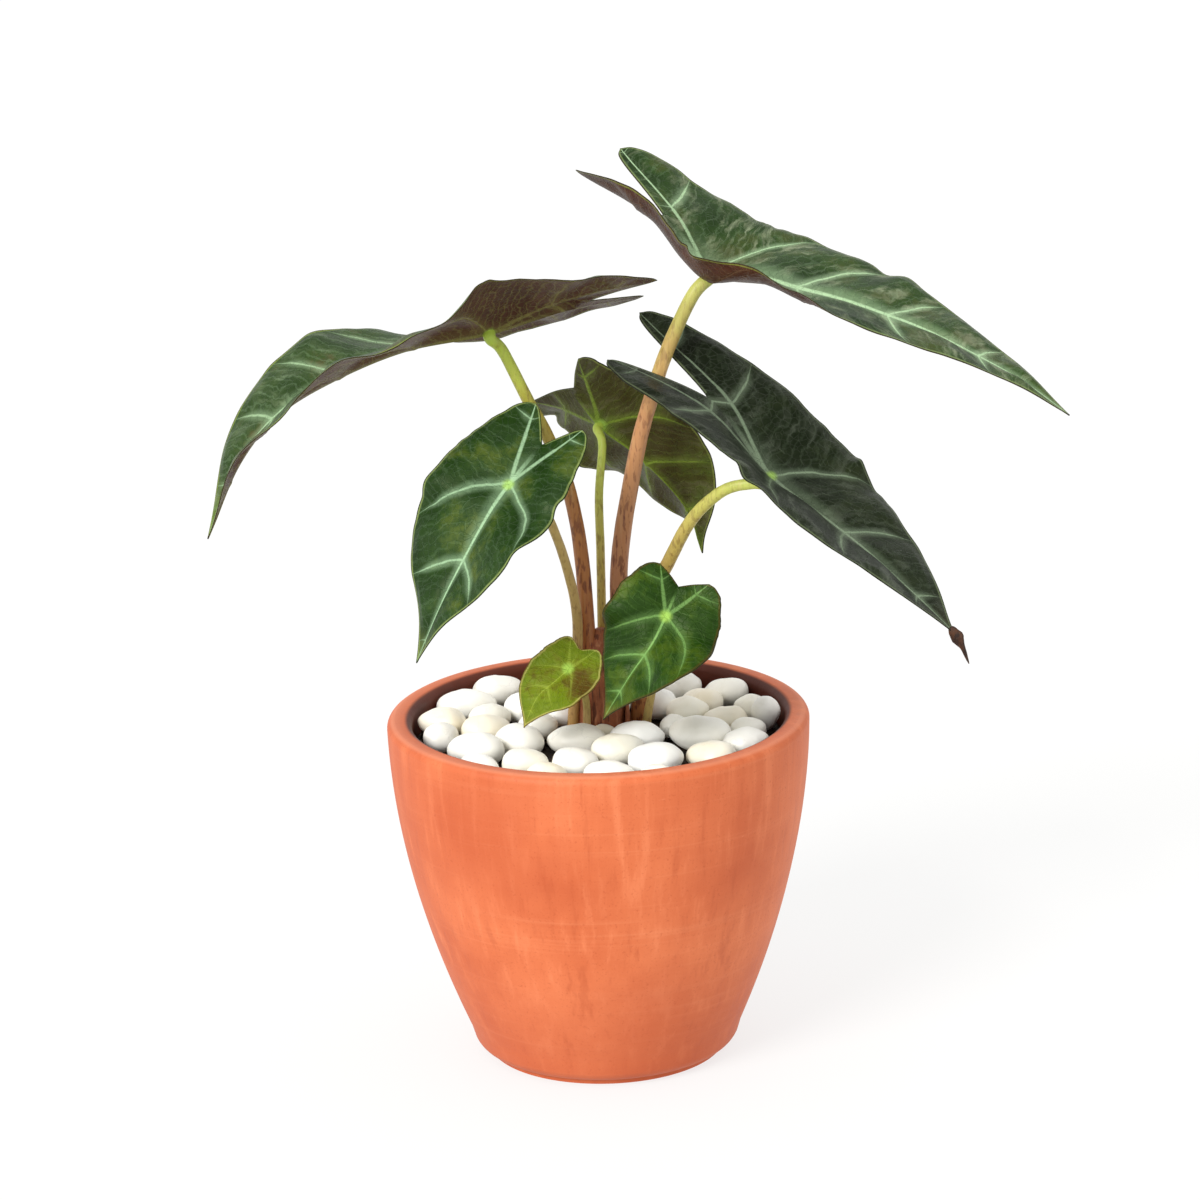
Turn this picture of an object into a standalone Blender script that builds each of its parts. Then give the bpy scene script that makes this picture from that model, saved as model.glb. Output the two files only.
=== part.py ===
"""A potted alocasia: a turned terracotta pot with soil, a bed of loose stones and a plant of seven leaves.

Metres, +Z up. The origin is at the centre of the pot's underside, and the front of the plant faces -Y.
Blade stations and stalk routes are in millimetres: x and y from the pot's axis, and z above the plant's own
base level, which lies a little under the soil's surface.
"""

import math

import bmesh
import bpy
import numpy as np
from mathutils import Matrix, Vector
from mathutils.bvhtree import BVHTree

MM = 0.001

# Pot
POT_HEIGHT = 0.1495
RIM_RADIUS = 0.090
FOOT_RADIUS = 0.0535
WALL = 0.0105
FLOOR = 0.011
RIM_ROUND = 0.0036
FOOT_ROUND = 0.008
FOOT_STEP_HEIGHT = 0.002
FOOT_STEP_DEPTH = 0.0012
SIDE_FULLNESS = 1.87
POT_STEPS = 44

# What stands in the pot
GAP = 0.0004
SOIL_BELOW_RIM = 0.0135
SOIL_STEPS = 32
STONE_SCALE = 1.0
STONE_BED_RADIUS = 0.0795
STONE_TEST_GAP = 0.00045
SPREAD_ROUNDS = 60
STONE_SPACING = 0.0008
DROP_STEP = 0.0012
FINE_STEP = 0.0002

# Plant
STALK_GIRTH = 1.0
BLADE_THICKNESS = 0.0009
PLANT_BASE_BELOW_RIM = 0.0235
CROWN_HEIGHT = 0.048
CROWN_PLACE = (0.002, 0.008)
CROWN_FLARE = 1.22
STALK_SIDES = 2
STRAIGHT_START = 0.010
JOINT_GAP = 0.0007
JOINT_RUN = 0.003
CROWN_ROUND = 0.0012
CROWN_STEPS = 16
STONE_TAPER = 0.14
ROWS_BACK = 5
ROWS_NOTCH = 2
ROWS_FRONT = 10
COLUMNS = 3

SOIL_TOP = POT_HEIGHT - SOIL_BELOW_RIM
PLANT_BASE = POT_HEIGHT - PLANT_BASE_BELOW_RIM

# The half outline of a blade: (share of the length, share of the half width). A length share of 0 is where
# the stalk joins, 1 the tip and -1 the end of the lobes. A lobe's tip stands off the midrib by its share in
# "lobes", and "lobe_ends" is for a blade with one lobe shorter than the other.
FRONT_OUTLINE = {
    "long": [(0.02, 1.0), (0.22, 0.93), (0.42, 0.79), (0.62, 0.58), (0.80, 0.33), (0.93, 0.11), (1.0, 0.0)],
    "broad": [(0.0, 0.94), (0.24, 1.0), (0.40, 0.92), (0.54, 0.77), (0.67, 0.55), (0.82, 0.27), (0.93, 0.09),
              (1.0, 0.0)],
}

# Each blade: its outline, its lobes and half widths in mm (left, right), how far the notch between the
# lobes is from the stalk (a share of the lobes' length), the stalk's station, and the stations along the
# midrib from the lobes' end to the tip: x, y, z, then the rise and the curl of the left half and of the right
# half in degrees. A half's rise is its slope where it leaves the midrib, and its curl is how far it turns on
# the way to the edge.
BLADES = {
    "leaf_upper_right": {
        "outline": "long", "lobes": (0.40, 0.40), "widths": (41, 37), "notch": 0.44, "joint": 2,
        "stations": [(5, 41, 251, 22, 0, -24, 92), (32, 22, 234, 8, 0, -14, 86),
                     (52, 8, 212, 24, -6, -14, 76), (80, -8, 209, 19, -8, -10, 60),
                     (128, -30, 197, 14, 0, -8, 20), (170, -42, 177, 9, 0, 0, 0),
                     (195, -50, 160, 6, 0, 0, 0)],
    },
    "leaf_left_arching": {
        "outline": "long", "lobes": (0.42, 0.42), "widths": (39, 40), "notch": 0.62, "joint": 2,
        "stations": [(27, 10, 204, 28, -8, -18, -8), (-8, 2, 200, 37, -8, -20, -8),
                     (-41, -5, 192, 44, -4, -17, -6), (-75, -15, 188, 20, 0, -2, -4),
                     (-105, -25, 178, 24, 10, 28, -4), (-128, -31, 165, 0, 30, 26, -10),
                     (-145, -34, 145, 8, 50, 26, -6), (-159, -35, 114, 0, 50, 20, 0)],
    },
    "leaf_right_dark": {
        "outline": "long", "lobes": (0.46, 0.46), "widths": (37, 37), "notch": 0.46, "joint": 2,
        "lobe_ends": (1.0, 0.9),
        "stations": [(11, 19, 183, 28, 0, -12, 10), (51, -8, 160, 15, 0, 0, 8),
                     (74, -28, 132, 21, 0, 26, 6), (105, -58, 113, 7, 0, 18, 0),
                     (129, -80, 95, 10, 0, 18, 0), (144, -93, 82, 10, 0, 18, 0)],
    },
    "leaf_back": {
        "outline": "broad", "lobes": (1.05, 0.45), "widths": (33, 32), "notch": 0.70, "joint": 1,
        "stations": [(-11, 41, 163, -60, 0, 60, 10), (5, 35, 141, -46, 0, 76, 0),
                     (23, 36, 125, -34, 0, 60, 0), (41, 34, 103, -42, 0, 88, 0),
                     (47, 30, 84, -42, 0, 88, 0)],
    },
    "leaf_front_left": {
        "outline": "broad", "lobes": (0.40, 0.44), "widths": (30, 33), "notch": 0.62, "joint": 1,
        "stations": [(-11, -22, 157, -14, -10, 30, -6), (-34, -38, 134, -10, -8, 30, -6),
                     (-45, -48, 120, -6, 0, 22, 0), (-61, -56, 93, -8, 0, 28, 0),
                     (-74, -58, 65, -8, 0, 28, 0)],
    },
    "leaf_low_right": {
        "outline": "broad", "lobes": (0.46, 0.44), "widths": (25, 25), "notch": 0.72, "joint": 1,
        "stations": [(37, -39, 94, -26, 0, 54, -10), (29, -48, 79, -34, 0, 46, -8),
                     (23, -54, 69, -20, 0, 30, 0), (13, -58, 56, -16, 0, 30, 0),
                     (2, -60, 39, -18, 0, 32, 0)],
    },
    "leaf_smallest": {
        "outline": "broad", "lobes": (0.42, 0.42), "widths": (16, 14.5), "notch": 0.75, "joint": 1,
        "stations": [(-5, -30, 63, -20, 0, 34, 0), (-12, -36, 54, -28, 0, 40, 0),
                     (-17, -39, 50, -28, 0, 36, 0), (-25, -43, 44, -28, 0, 28, 0),
                     (-31, -46, 32, -28, 0, 24, 0)],
    },
}

# Each stalk: its blade, its radii in mm at the foot and at the blade, where it starts, and its route between
# the start and the blade. A stalk grows on the crown's top ("top", side of the crown) or from the soil beside
# it ("soil", bearing in degrees from +X, clear distance from the crown in mm).
STALKS = {
    "stalk_upper_right": ("leaf_upper_right", 4.4, 2.7, ("top", "right"),
                          [(11, 8, 88), (19, 8, 133), (25, 8, 155), (33, 8, 178), (44, 8, 201)]),
    "stalk_left_arching": ("leaf_left_arching", 3.7, 2.3, ("top", "left"),
                           [(-5, 7, 89), (-10, 5, 122), (-18, 1, 145), (-25, -2, 160), (-35, -3, 182)]),
    "stalk_back": ("leaf_back", 2.1, 1.7, ("top", "back"),
                   [(3, 15, 88), (3, 18, 114), (5, 26, 134)]),
    "stalk_right_dark": ("leaf_right_dark", 3.6, 2.3, ("soil", 8.0, 2.0),
                         [(20, 6, 46), (25, 0, 75), (32, -7, 92), (39, -13, 107), (46, -17, 117),
                          (56, -23, 126), (67, -27, 129)]),
    "stalk_front_left": ("leaf_front_left", 2.4, 1.8, ("soil", 203.0, 1.2),
                         [(-8, 2, 50), (-8, -1, 70), (-11, -7, 88), (-15, -13, 104), (-20, -20, 118),
                          (-28, -29, 128)]),
    "stalk_low_right": ("leaf_low_right", 1.9, 1.4, ("soil", 338.0, 8.0),
                        [(24, -10, 40), (27, -26, 64), (28.5, -40, 76)]),
    "stalk_smallest": ("leaf_smallest", 1.7, 1.2, ("soil", 241.0, 2.0),
                       [(-5, -6, 31), (-8, -19, 46)]),
}

# The stones, in the order in which they were laid: x and y from the pot's axis, length, width and height in
# mm, then in degrees the turn about the vertical, the lean to one side and the tip of the long axis.
STONES = [
    (-66, 13, 22, 17, 14, 170, 0, 0), (-66, -7, 17, 15, 13, 60, 0, 0), (-50, -32, 25, 18, 15, 170, 0, 0),
    (-50, -50, 20, 15, 12, 130, 0, 0), (-31, -51, 20, 17, 14, 0, 0, 0), (-22, -68, 18, 13, 12, 10, 0, 0),
    (-13, -51, 20, 17, 14, 0, 0, 0), (5, -67, 22, 17, 13, 0, 0, 0), (26, -52, 25, 18, 15, 25, 0, 0),
    (24, -69, 16, 12, 11, 160, 0, 0), (45, -45, 22, 17, 13, 165, 0, 0), (62, -29, 22, 17, 14, 35, 0, 0),
    (60, -9, 17, 14, 12, 30, 0, 0), (71, 5, 20, 13, 12, 90, 0, 55), (66, 23, 17, 14, 12, 60, 0, 0),
    (49, 33, 19, 15, 13, 160, 0, 0), (38, 50, 20, 16, 14, 60, 0, 0), (59, 42, 22, 16, 13, 150, 20, 15),
    (24, 62, 22, 17, 14, 20, 0, 0), (2, 65, 24, 17, 14, 5, 0, 0), (-21, 61, 23, 17, 14, 170, 0, 0),
    (-42, 54, 24, 17, 14, 20, 0, 0), (-57, 34, 27, 17, 14, 5, 0, 0), (-39, 24, 21, 16, 14, 120, 0, 0),
    (-51, 17, 20, 16, 13, 30, 0, 0), (-47, -4, 22, 17, 14, 10, 0, 0), (-31, -19, 24, 18, 15, 140, 0, 0),
    (-26, 2, 18, 15, 13, 20, 0, 0), (-17, 19, 18, 15, 13, 0, 0, 0), (-21, 41, 22, 17, 14, 40, 0, 0),
    (2, 45, 22, 17, 14, 90, 0, 0), (5, 28, 18, 13, 12, 0, 0, 0), (21, 43, 19, 16, 13, 60, 0, 0),
    (30, 29, 20, 16, 14, 80, 0, 0), (41, 17, 19, 15, 13, 0, 0, 0), (55, 4, 20, 16, 13, 170, 0, 0),
    (36, 0, 15, 12, 11, 80, 0, 0), (43, -20, 28, 19, 15, 160, -15, 0), (25, -17, 24, 17, 14, 5, 0, 0),
    (8, -37, 24, 18, 15, 25, 0, 0), (5, -11, 12, 10, 10, 0, 0, 0), (-12, -19, 26, 16, 14, 172, 0, 0),
]

LOOKS = {
    "terracotta": ((0.70, 0.24, 0.12), 0.62),
    "soil": ((0.035, 0.024, 0.017), 0.95),
    "stone": ((0.84, 0.81, 0.74), 0.40),
    "crown": ((0.22, 0.10, 0.06), 0.60),
    "stalk": ((0.42, 0.30, 0.12), 0.45),
    "blade": ((0.045, 0.11, 0.035), 0.38),
}


def clear_scene():
    for thing in list(bpy.data.objects):
        bpy.data.objects.remove(thing, do_unlink=True)


def make_look(name, kind):
    colour, roughness = LOOKS[kind]
    look = bpy.data.materials.new(name + "_look")
    look.use_nodes = True
    shader = look.node_tree.nodes["Principled BSDF"]
    shader.inputs["Base Color"].default_value = (*colour, 1.0)
    shader.inputs["Roughness"].default_value = roughness
    shader.inputs["Metallic"].default_value = 0.0
    return look


def add_object(name, data, kind, collection):
    thing = bpy.data.objects.new(name, data)
    thing.data.materials.append(make_look(name, kind))
    collection.objects.link(thing)
    return thing


def smooth_route(points, samples):
    """A Catmull-Rom curve through the points, with this many samples to a span."""
    rows = np.array(points, dtype=float)
    rows = np.vstack([2 * rows[0] - rows[1], rows, 2 * rows[-1] - rows[-2]])
    route = []
    for index in range(1, len(rows) - 2):
        before, start, end, after = rows[index - 1:index + 3]
        for step in range(samples):
            t = step / samples
            linear = (end - before) * t
            square = (2 * before - 5 * start + 4 * end - after) * t * t
            cube = (3 * start - before - 3 * end + after) * t ** 3
            route.append(0.5 * (2 * start + linear + square + cube))
    route.append(rows[-2])
    return np.array(route)


def side_radius(height):
    """The outer radius of the pot's tapered side at a height."""
    share = max(0.0, 1.0 - height / POT_HEIGHT)
    return FOOT_RADIUS + (RIM_RADIUS - FOOT_RADIUS) * (1.0 - share ** SIDE_FULLNESS)


def bore_radius(height):
    """The radius of the pot's inside at a height."""
    return side_radius(height) - WALL


def arc(centre_x, centre_z, radius, start, end, count):
    """Points on an arc, with its angles in degrees from +X towards +Z."""
    angles = np.radians(np.linspace(start, end, count))
    return [(centre_x + radius * math.cos(a), centre_z + radius * math.sin(a)) for a in angles]


def turned_mesh(name, profile):
    mesh = bpy.data.meshes.new(name)
    edges = [(i, i + 1) for i in range(len(profile) - 1)]
    mesh.from_pydata([(radius, 0.0, height) for radius, height in profile], edges, [])
    return mesh


def turn(thing, steps):
    screw = thing.modifiers.new("turned", "SCREW")
    screw.axis = "Z"
    screw.angle = 2 * math.pi
    screw.steps = steps
    screw.render_steps = steps
    screw.use_merge_vertices = True
    screw.merge_threshold = 0.00002
    screw.use_smooth_shade = True


def add_pot(collection):
    """The pot: floor, inner side, rim, outer side, foot step and underside, turned about its axis."""
    lip_height = POT_HEIGHT - RIM_ROUND
    floor_edge = FLOOR + FOOT_ROUND
    side_foot = FOOT_STEP_HEIGHT + FOOT_ROUND
    round_centre = side_radius(side_foot) - FOOT_ROUND
    step_radius = round_centre + FOOT_STEP_DEPTH
    profile = [(0.0, FLOOR)]
    profile += arc(bore_radius(floor_edge) - FOOT_ROUND, floor_edge, FOOT_ROUND, -90, -15, 3)
    profile += [(bore_radius(z), z) for z in np.linspace(floor_edge, lip_height, 9)]
    profile += arc(bore_radius(POT_HEIGHT) + RIM_ROUND, lip_height, RIM_ROUND, 150, 90, 3)
    profile += arc(RIM_RADIUS - RIM_ROUND, lip_height, RIM_ROUND, 90, 0, 4)
    profile += [(side_radius(z), z) for z in np.linspace(lip_height, side_foot, 11)[1:]]
    profile += arc(round_centre, side_foot, FOOT_ROUND, -22, -78, 3)
    profile += [(step_radius, FOOT_STEP_HEIGHT), (step_radius, 0.0), (0.0, 0.0)]
    pot = add_object("pot", turned_mesh("pot", profile), "terracotta", collection)
    turn(pot, POT_STEPS)
    return pot


def add_soil(collection):
    """The potting soil, which fills the pot up to the stones."""
    clear = 3 * GAP
    bottom = FLOOR + clear
    side_bottom = bottom + FOOT_ROUND
    profile = [(0.0, SOIL_TOP)]
    heights = np.linspace(SOIL_TOP, side_bottom, 6)
    profile += [(bore_radius(z) - clear, z) for z in heights]
    profile += [(bore_radius(side_bottom) - clear - FOOT_ROUND, bottom), (0.0, bottom)]
    mesh = turned_mesh("potting_soil", profile)
    soil = add_object("potting_soil", mesh, "soil", collection)
    turn(soil, SOIL_STEPS)
    return soil


def outline_curves(blade, side):
    """The outer edge and the inner edge of one half of a blade, as curves of length and width shares."""
    lobe = blade["lobes"][0 if side < 0 else 1]
    notch = blade["notch"]
    outer = [(-1.0, lobe), (-0.95, lobe + 0.13), (-0.80, lobe + 0.26), (-0.50, 0.5 * lobe + 0.60)]
    outer.append((-0.22, 0.91))
    outer += FRONT_OUTLINE[blade["outline"]]
    inner = [(-1.0, lobe), (-0.95, lobe - 0.10), (-0.5 - 0.5 * notch, 0.42 * lobe), (-notch, 0.0)]
    return smooth_route(outer, 10), smooth_route(inner, 10)


class Midrib:
    """A blade's middle line, with the directions to its right side and to its upper side."""

    SAMPLES = 12

    def __init__(self, blade):
        rows = smooth_route(blade["stations"], self.SAMPLES)
        self.places = rows[:, :3] * MM + np.array([0.0, 0.0, PLANT_BASE])
        self.bends = np.radians(rows[:, 3:])
        steps = np.linalg.norm(np.diff(self.places, axis=0), axis=1)
        self.reach = np.concatenate([[0.0], np.cumsum(steps)])
        self.back = self.reach[blade["joint"] * self.SAMPLES]
        self.front = self.reach[-1] - self.back
        along = np.gradient(self.places, axis=0)
        along /= np.linalg.norm(along, axis=1)[:, None]
        right = np.cross(along, (0.0, 0.0, 1.0))
        self.right = right / np.linalg.norm(right, axis=1)[:, None]
        self.up = np.cross(self.right, along)

    def at(self, share):
        """The place, right, up and bends at a length share."""
        reach = self.back + share * (self.back if share < 0 else self.front)
        tables = (self.places, self.right, self.up, self.bends)
        return [np.array([np.interp(reach, self.reach, column) for column in table.T]) for table in tables]

    def upper_side(self, share):
        """The direction halfway between the two halves, on their upper side."""
        _, right, up, bends = self.at(share)
        angle = math.pi / 2 + (bends[2] - bends[0]) / 2
        return math.cos(angle) * right + math.sin(angle) * up

    def surface(self, share, across, side, half_width):
        """A point of the upper surface: side -1 is the left half and 1 the right, across is in metres."""
        place, right, up, bends = self.at(share)
        rise, curl = bends[:2] if side < 0 else bends[2:]
        turn_rate = curl / half_width
        if abs(turn_rate) < 1e-6:
            out = across * math.cos(rise)
            high = across * math.sin(rise)
        else:
            out = (math.sin(rise + turn_rate * across) - math.sin(rise)) / turn_rate
            high = (math.cos(rise) - math.cos(rise + turn_rate * across)) / turn_rate
        return place + side * out * right + high * up


def blade_rows(blade):
    """The length shares of a blade's rows, closest together at the lobes' ends."""
    notch = blade["notch"]
    quarter = 0.5 * math.pi / ROWS_BACK
    lobes = [-1.0 + (1.0 - notch) * (1.0 - math.cos(quarter * i)) for i in range(ROWS_BACK)]
    neck = [-notch + notch * i / ROWS_NOTCH for i in range(ROWS_NOTCH)]
    front = [i / ROWS_FRONT for i in range(ROWS_FRONT + 1)]
    return lobes + neck + front


def add_blade(name, collection):
    """One blade: both halves as a loft across the midrib, thickened downwards."""
    blade = BLADES[name]
    midrib = Midrib(blade)
    rows = blade_rows(blade)
    bm = bmesh.new()
    shared = {}
    notch = blade["notch"]
    for side, width, lobe_end in zip((-1, 1), blade["widths"], blade.get("lobe_ends", (1.0, 1.0))):
        half = width * MM
        outer, inner = outline_curves(blade, side)
        lobe_stretch = (lobe_end - notch) / (1.0 - notch)
        grid = []
        for index, share in enumerate(rows):
            placed = share + min(0.0, share + notch) * (lobe_stretch - 1.0)
            edge = half * np.interp(share, outer[:, 0], outer[:, 1])
            root = half * np.interp(share, inner[:, 0], inner[:, 1]) if index < ROWS_BACK else 0.0
            line = []
            for column in range(COLUMNS + 1):
                key = (index, side if index < ROWS_BACK or column else 0, column)
                if index == 0:
                    key = (0, side, 0)
                if index == len(rows) - 1:
                    key = (index, 0, 0)
                if key not in shared:
                    across = root + (edge - root) * column / COLUMNS
                    shared[key] = bm.verts.new(midrib.surface(placed, across, side, half))
                line.append(shared[key])
            grid.append(line)
        for first, second in zip(grid, grid[1:]):
            for column in range(COLUMNS):
                corners = [first[column], second[column], second[column + 1], first[column + 1]]
                corners = list(dict.fromkeys(corners))
                bm.faces.new(corners if side < 0 else corners[::-1])
    for face in bm.faces:
        face.smooth = True
    mesh = bpy.data.meshes.new(name)
    bm.to_mesh(mesh)
    bm.free()
    thing = add_object(name, mesh, "blade", collection)
    thickness = thing.modifiers.new("thickness", "SOLIDIFY")
    thickness.thickness = BLADE_THICKNESS
    thickness.offset = -1.0
    return thing


def crown_sizes():
    """The crown's top radius and its radius at the soil."""
    right = STALKS["stalk_upper_right"][1]
    left = STALKS["stalk_left_arching"][1]
    top = (right + left) * MM * STALK_GIRTH + GAP
    return top, top * CROWN_FLARE


def stalk_start(name):
    """Where a stalk starts, on the crown's top or on the soil beside the crown."""
    _, foot, _, start, _ = STALKS[name]
    foot *= MM * STALK_GIRTH
    top, base = crown_sizes()
    if start[0] == "soil":
        bearing = math.radians(start[1])
        reach = base + foot + start[2] * MM
        place = (CROWN_PLACE[0] + reach * math.cos(bearing), CROWN_PLACE[1] + reach * math.sin(bearing))
        return np.array([*place, SOIL_TOP + GAP])
    right = STALKS["stalk_upper_right"][1] * MM * STALK_GIRTH
    left = STALKS["stalk_left_arching"][1] * MM * STALK_GIRTH
    shift = {"right": (left + GAP / 2, 0.0), "left": (-right - GAP / 2, 0.0), "back": (left - right, 0.0)}
    out = shift[start[1]]
    behind = top - foot if start[1] == "back" else -0.1 * top
    return np.array([CROWN_PLACE[0] + out[0], CROWN_PLACE[1] + behind, SOIL_TOP + CROWN_HEIGHT + GAP])


def add_crown(collection):
    """The short thick stem base that the largest stalks grow from."""
    top, base = crown_sizes()
    profile = [(0.0, CROWN_HEIGHT), (top - CROWN_ROUND, CROWN_HEIGHT), (top, CROWN_HEIGHT - CROWN_ROUND)]
    profile += [(top + (base - top) * (1.0 - s) ** 2, CROWN_HEIGHT * s) for s in (0.7, 0.45, 0.2, 0.03)]
    profile += [(base, GAP), (0.0, GAP)]
    crown = add_object("stem_base", turned_mesh("stem_base", profile), "crown", collection)
    crown.location = (*CROWN_PLACE, SOIL_TOP)
    turn(crown, CROWN_STEPS)
    return crown


def add_stalk(name, collection):
    """One leaf stalk, which runs up to the underside of its blade and stops a gap short of it."""
    leaf, foot, tip, _, route = STALKS[name]
    blade = BLADES[leaf]
    midrib = Midrib(blade)
    joint = midrib.at(0.0)[0]
    upper_side = midrib.upper_side(0.0)
    end = joint - upper_side * (BLADE_THICKNESS + JOINT_GAP)
    start = stalk_start(name)
    points = [start, start + np.array([0.0, 0.0, STRAIGHT_START])]
    points += [np.array(place) * MM + np.array([0.0, 0.0, PLANT_BASE]) for place in route]
    points += [end - upper_side * JOINT_RUN, end]
    path = smooth_route(points, 3)
    curve = bpy.data.curves.new(name, "CURVE")
    curve.dimensions = "3D"
    curve.bevel_depth = foot * MM * STALK_GIRTH
    curve.bevel_resolution = STALK_SIDES
    curve.use_fill_caps = True
    spline = curve.splines.new("POLY")
    spline.points.add(len(path) - 1)
    steps = np.linalg.norm(np.diff(path, axis=0), axis=1)
    reach = np.concatenate([[0.0], np.cumsum(steps)]) / steps.sum()
    for point, place, share in zip(spline.points, path, reach):
        point.co = (*place, 1.0)
        point.radius = 1.0 + (tip / foot - 1.0) * share
    spline.use_smooth = True
    return add_object(name, curve, "stalk", collection)


def stone_mesh(name, length, width, height, turn_angle, lean, tip, extra):
    """A rounded stone, a little fuller at one end, about its own centre. Extra is added all round."""
    bm = bmesh.new()
    bmesh.ops.create_icosphere(bm, subdivisions=2, radius=1.0)
    half = [0.5 * size * MM * STONE_SCALE + extra for size in (length, width, height)]
    rotation = Matrix.Rotation(math.radians(turn_angle), 3, "Z")
    rotation = rotation @ Matrix.Rotation(math.radians(tip), 3, "Y")
    rotation = rotation @ Matrix.Rotation(math.radians(lean), 3, "X")
    for vert in bm.verts:
        full = 1.0 - STONE_TAPER * vert.co.x
        shaped = Vector((half[0] * vert.co.x, half[1] * full * vert.co.y, half[2] * full * vert.co.z))
        vert.co = rotation @ shaped
    for face in bm.faces:
        face.smooth = True
    mesh = bpy.data.meshes.new(name)
    bm.to_mesh(mesh)
    bm.free()
    return mesh


def plan_reach(shape, bearing):
    """How far a stone reaches from its centre in a direction, seen from above."""
    length, width, height, turn_angle, _, tip = shape
    lifted = math.radians(tip)
    long_half = 0.5 * math.hypot(length * math.cos(lifted), height * math.sin(lifted)) * MM * STONE_SCALE
    short_half = 0.5 * width * MM * STONE_SCALE
    angle = bearing - math.radians(turn_angle)
    return math.hypot(long_half * math.cos(angle), short_half * math.sin(angle))


def keep_apart(place, other, need, share):
    """The place, moved away from the other one by a share of what is missing from the distance needed."""
    apart = place - other
    distance = float(np.linalg.norm(apart))
    if distance >= need:
        return place
    return place + apart / distance * (need - distance) * share


def spread_stones():
    """The stones' places, pushed apart in the plan until they clear each other, the stems and the wall."""
    scale = bore_radius(POT_HEIGHT) / STONE_BED_RADIUS
    places = [np.array([x, y]) * MM * scale for x, y, *_ in STONES]
    shapes = [shape for _, _, *shape in STONES]
    stems = [(np.array(CROWN_PLACE), crown_sizes()[1])]
    for name, (_, foot, _, start, _) in STALKS.items():
        if start[0] == "soil":
            stems.append((stalk_start(name)[:2], foot * MM * STALK_GIRTH))
    for _ in range(SPREAD_ROUNDS):
        for i, shape in enumerate(shapes):
            for j in range(i):
                bearing = math.atan2(*(places[i] - places[j])[::-1])
                need = plan_reach(shape, bearing) + plan_reach(shapes[j], bearing) + STONE_SPACING
                moved = keep_apart(places[i], places[j], need, 0.5)
                places[j] = keep_apart(places[j], places[i], need, 0.5)
                places[i] = moved
            for stem, radius in stems:
                bearing = math.atan2(*(places[i] - stem)[::-1])
                need = plan_reach(shape, bearing) + radius + STONE_SPACING
                places[i] = keep_apart(places[i], stem, need, 1.0)
            bearing = math.atan2(*places[i][::-1])
            limit = bore_radius(SOIL_TOP) - plan_reach(shape, bearing) - STONE_SPACING
            places[i] *= min(1.0, limit / float(np.linalg.norm(places[i])))
    return places


def world_triangles(thing):
    """An object's evaluated triangles in the world."""
    depsgraph = bpy.context.evaluated_depsgraph_get()
    evaluated = thing.evaluated_get(depsgraph)
    mesh = evaluated.to_mesh()
    mesh.calc_loop_triangles()
    verts = [thing.matrix_world @ v.co for v in mesh.vertices]
    faces = [tuple(t.vertices) for t in mesh.loop_triangles]
    evaluated.to_mesh_clear()
    return verts, faces


def meets(verts, faces, height, around):
    """Whether a stone at a height would touch what is already there."""
    moved = [v + Vector((0.0, 0.0, height)) for v in verts]
    return bool(BVHTree.FromPolygons(moved, faces).overlap(around))


def add_stones(collection, neighbours):
    """The stones, each let down onto the soil and the stones under it until it is a gap away from them."""
    all_verts = []
    all_faces = []
    for thing in neighbours:
        verts, faces = world_triangles(thing)
        all_faces += [tuple(i + len(all_verts) for i in face) for face in faces]
        all_verts += verts
    for number, (plan, (_, _, *shape)) in enumerate(zip(spread_stones(), STONES), 1):
        name = f"stone_{number:02d}"
        place = Vector((*plan, 0.0))
        test = stone_mesh("test", *shape, STONE_TEST_GAP)
        test_verts = [v.co + place for v in test.vertices]
        test_faces = [tuple(p.vertices) for p in test.polygons]
        bpy.data.meshes.remove(test)
        around = BVHTree.FromPolygons(all_verts, all_faces)
        level = POT_HEIGHT + 0.5 * shape[2] * MM * STONE_SCALE
        for step in (DROP_STEP, FINE_STEP):
            while level > SOIL_TOP and not meets(test_verts, test_faces, level - step, around):
                level -= step
        mesh = stone_mesh(name, *shape, 0.0)
        stone = add_object(name, mesh, "stone", collection)
        stone.location = (place.x, place.y, level)
        all_faces += [tuple(i + len(all_verts) for i in p.vertices) for p in mesh.polygons]
        all_verts += [v.co + place + Vector((0.0, 0.0, level)) for v in mesh.vertices]


def build():
    clear_scene()
    plant = bpy.data.collections.new("potted_alocasia")
    bpy.context.scene.collection.children.link(plant)
    standing = [add_pot(plant), add_soil(plant), add_crown(plant)]
    standing += [add_stalk(name, plant) for name in STALKS]
    for name in BLADES:
        add_blade(name, plant)
    bpy.context.view_layer.update()
    add_stones(plant, standing)


build()
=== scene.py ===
"""A potted alocasia with veined leaves, speckled stalks, a clay pot, soil and a bed of polished stones."""
import math

import bmesh
import bpy
import numpy as np
from mathutils import Matrix, Vector, noise


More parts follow.
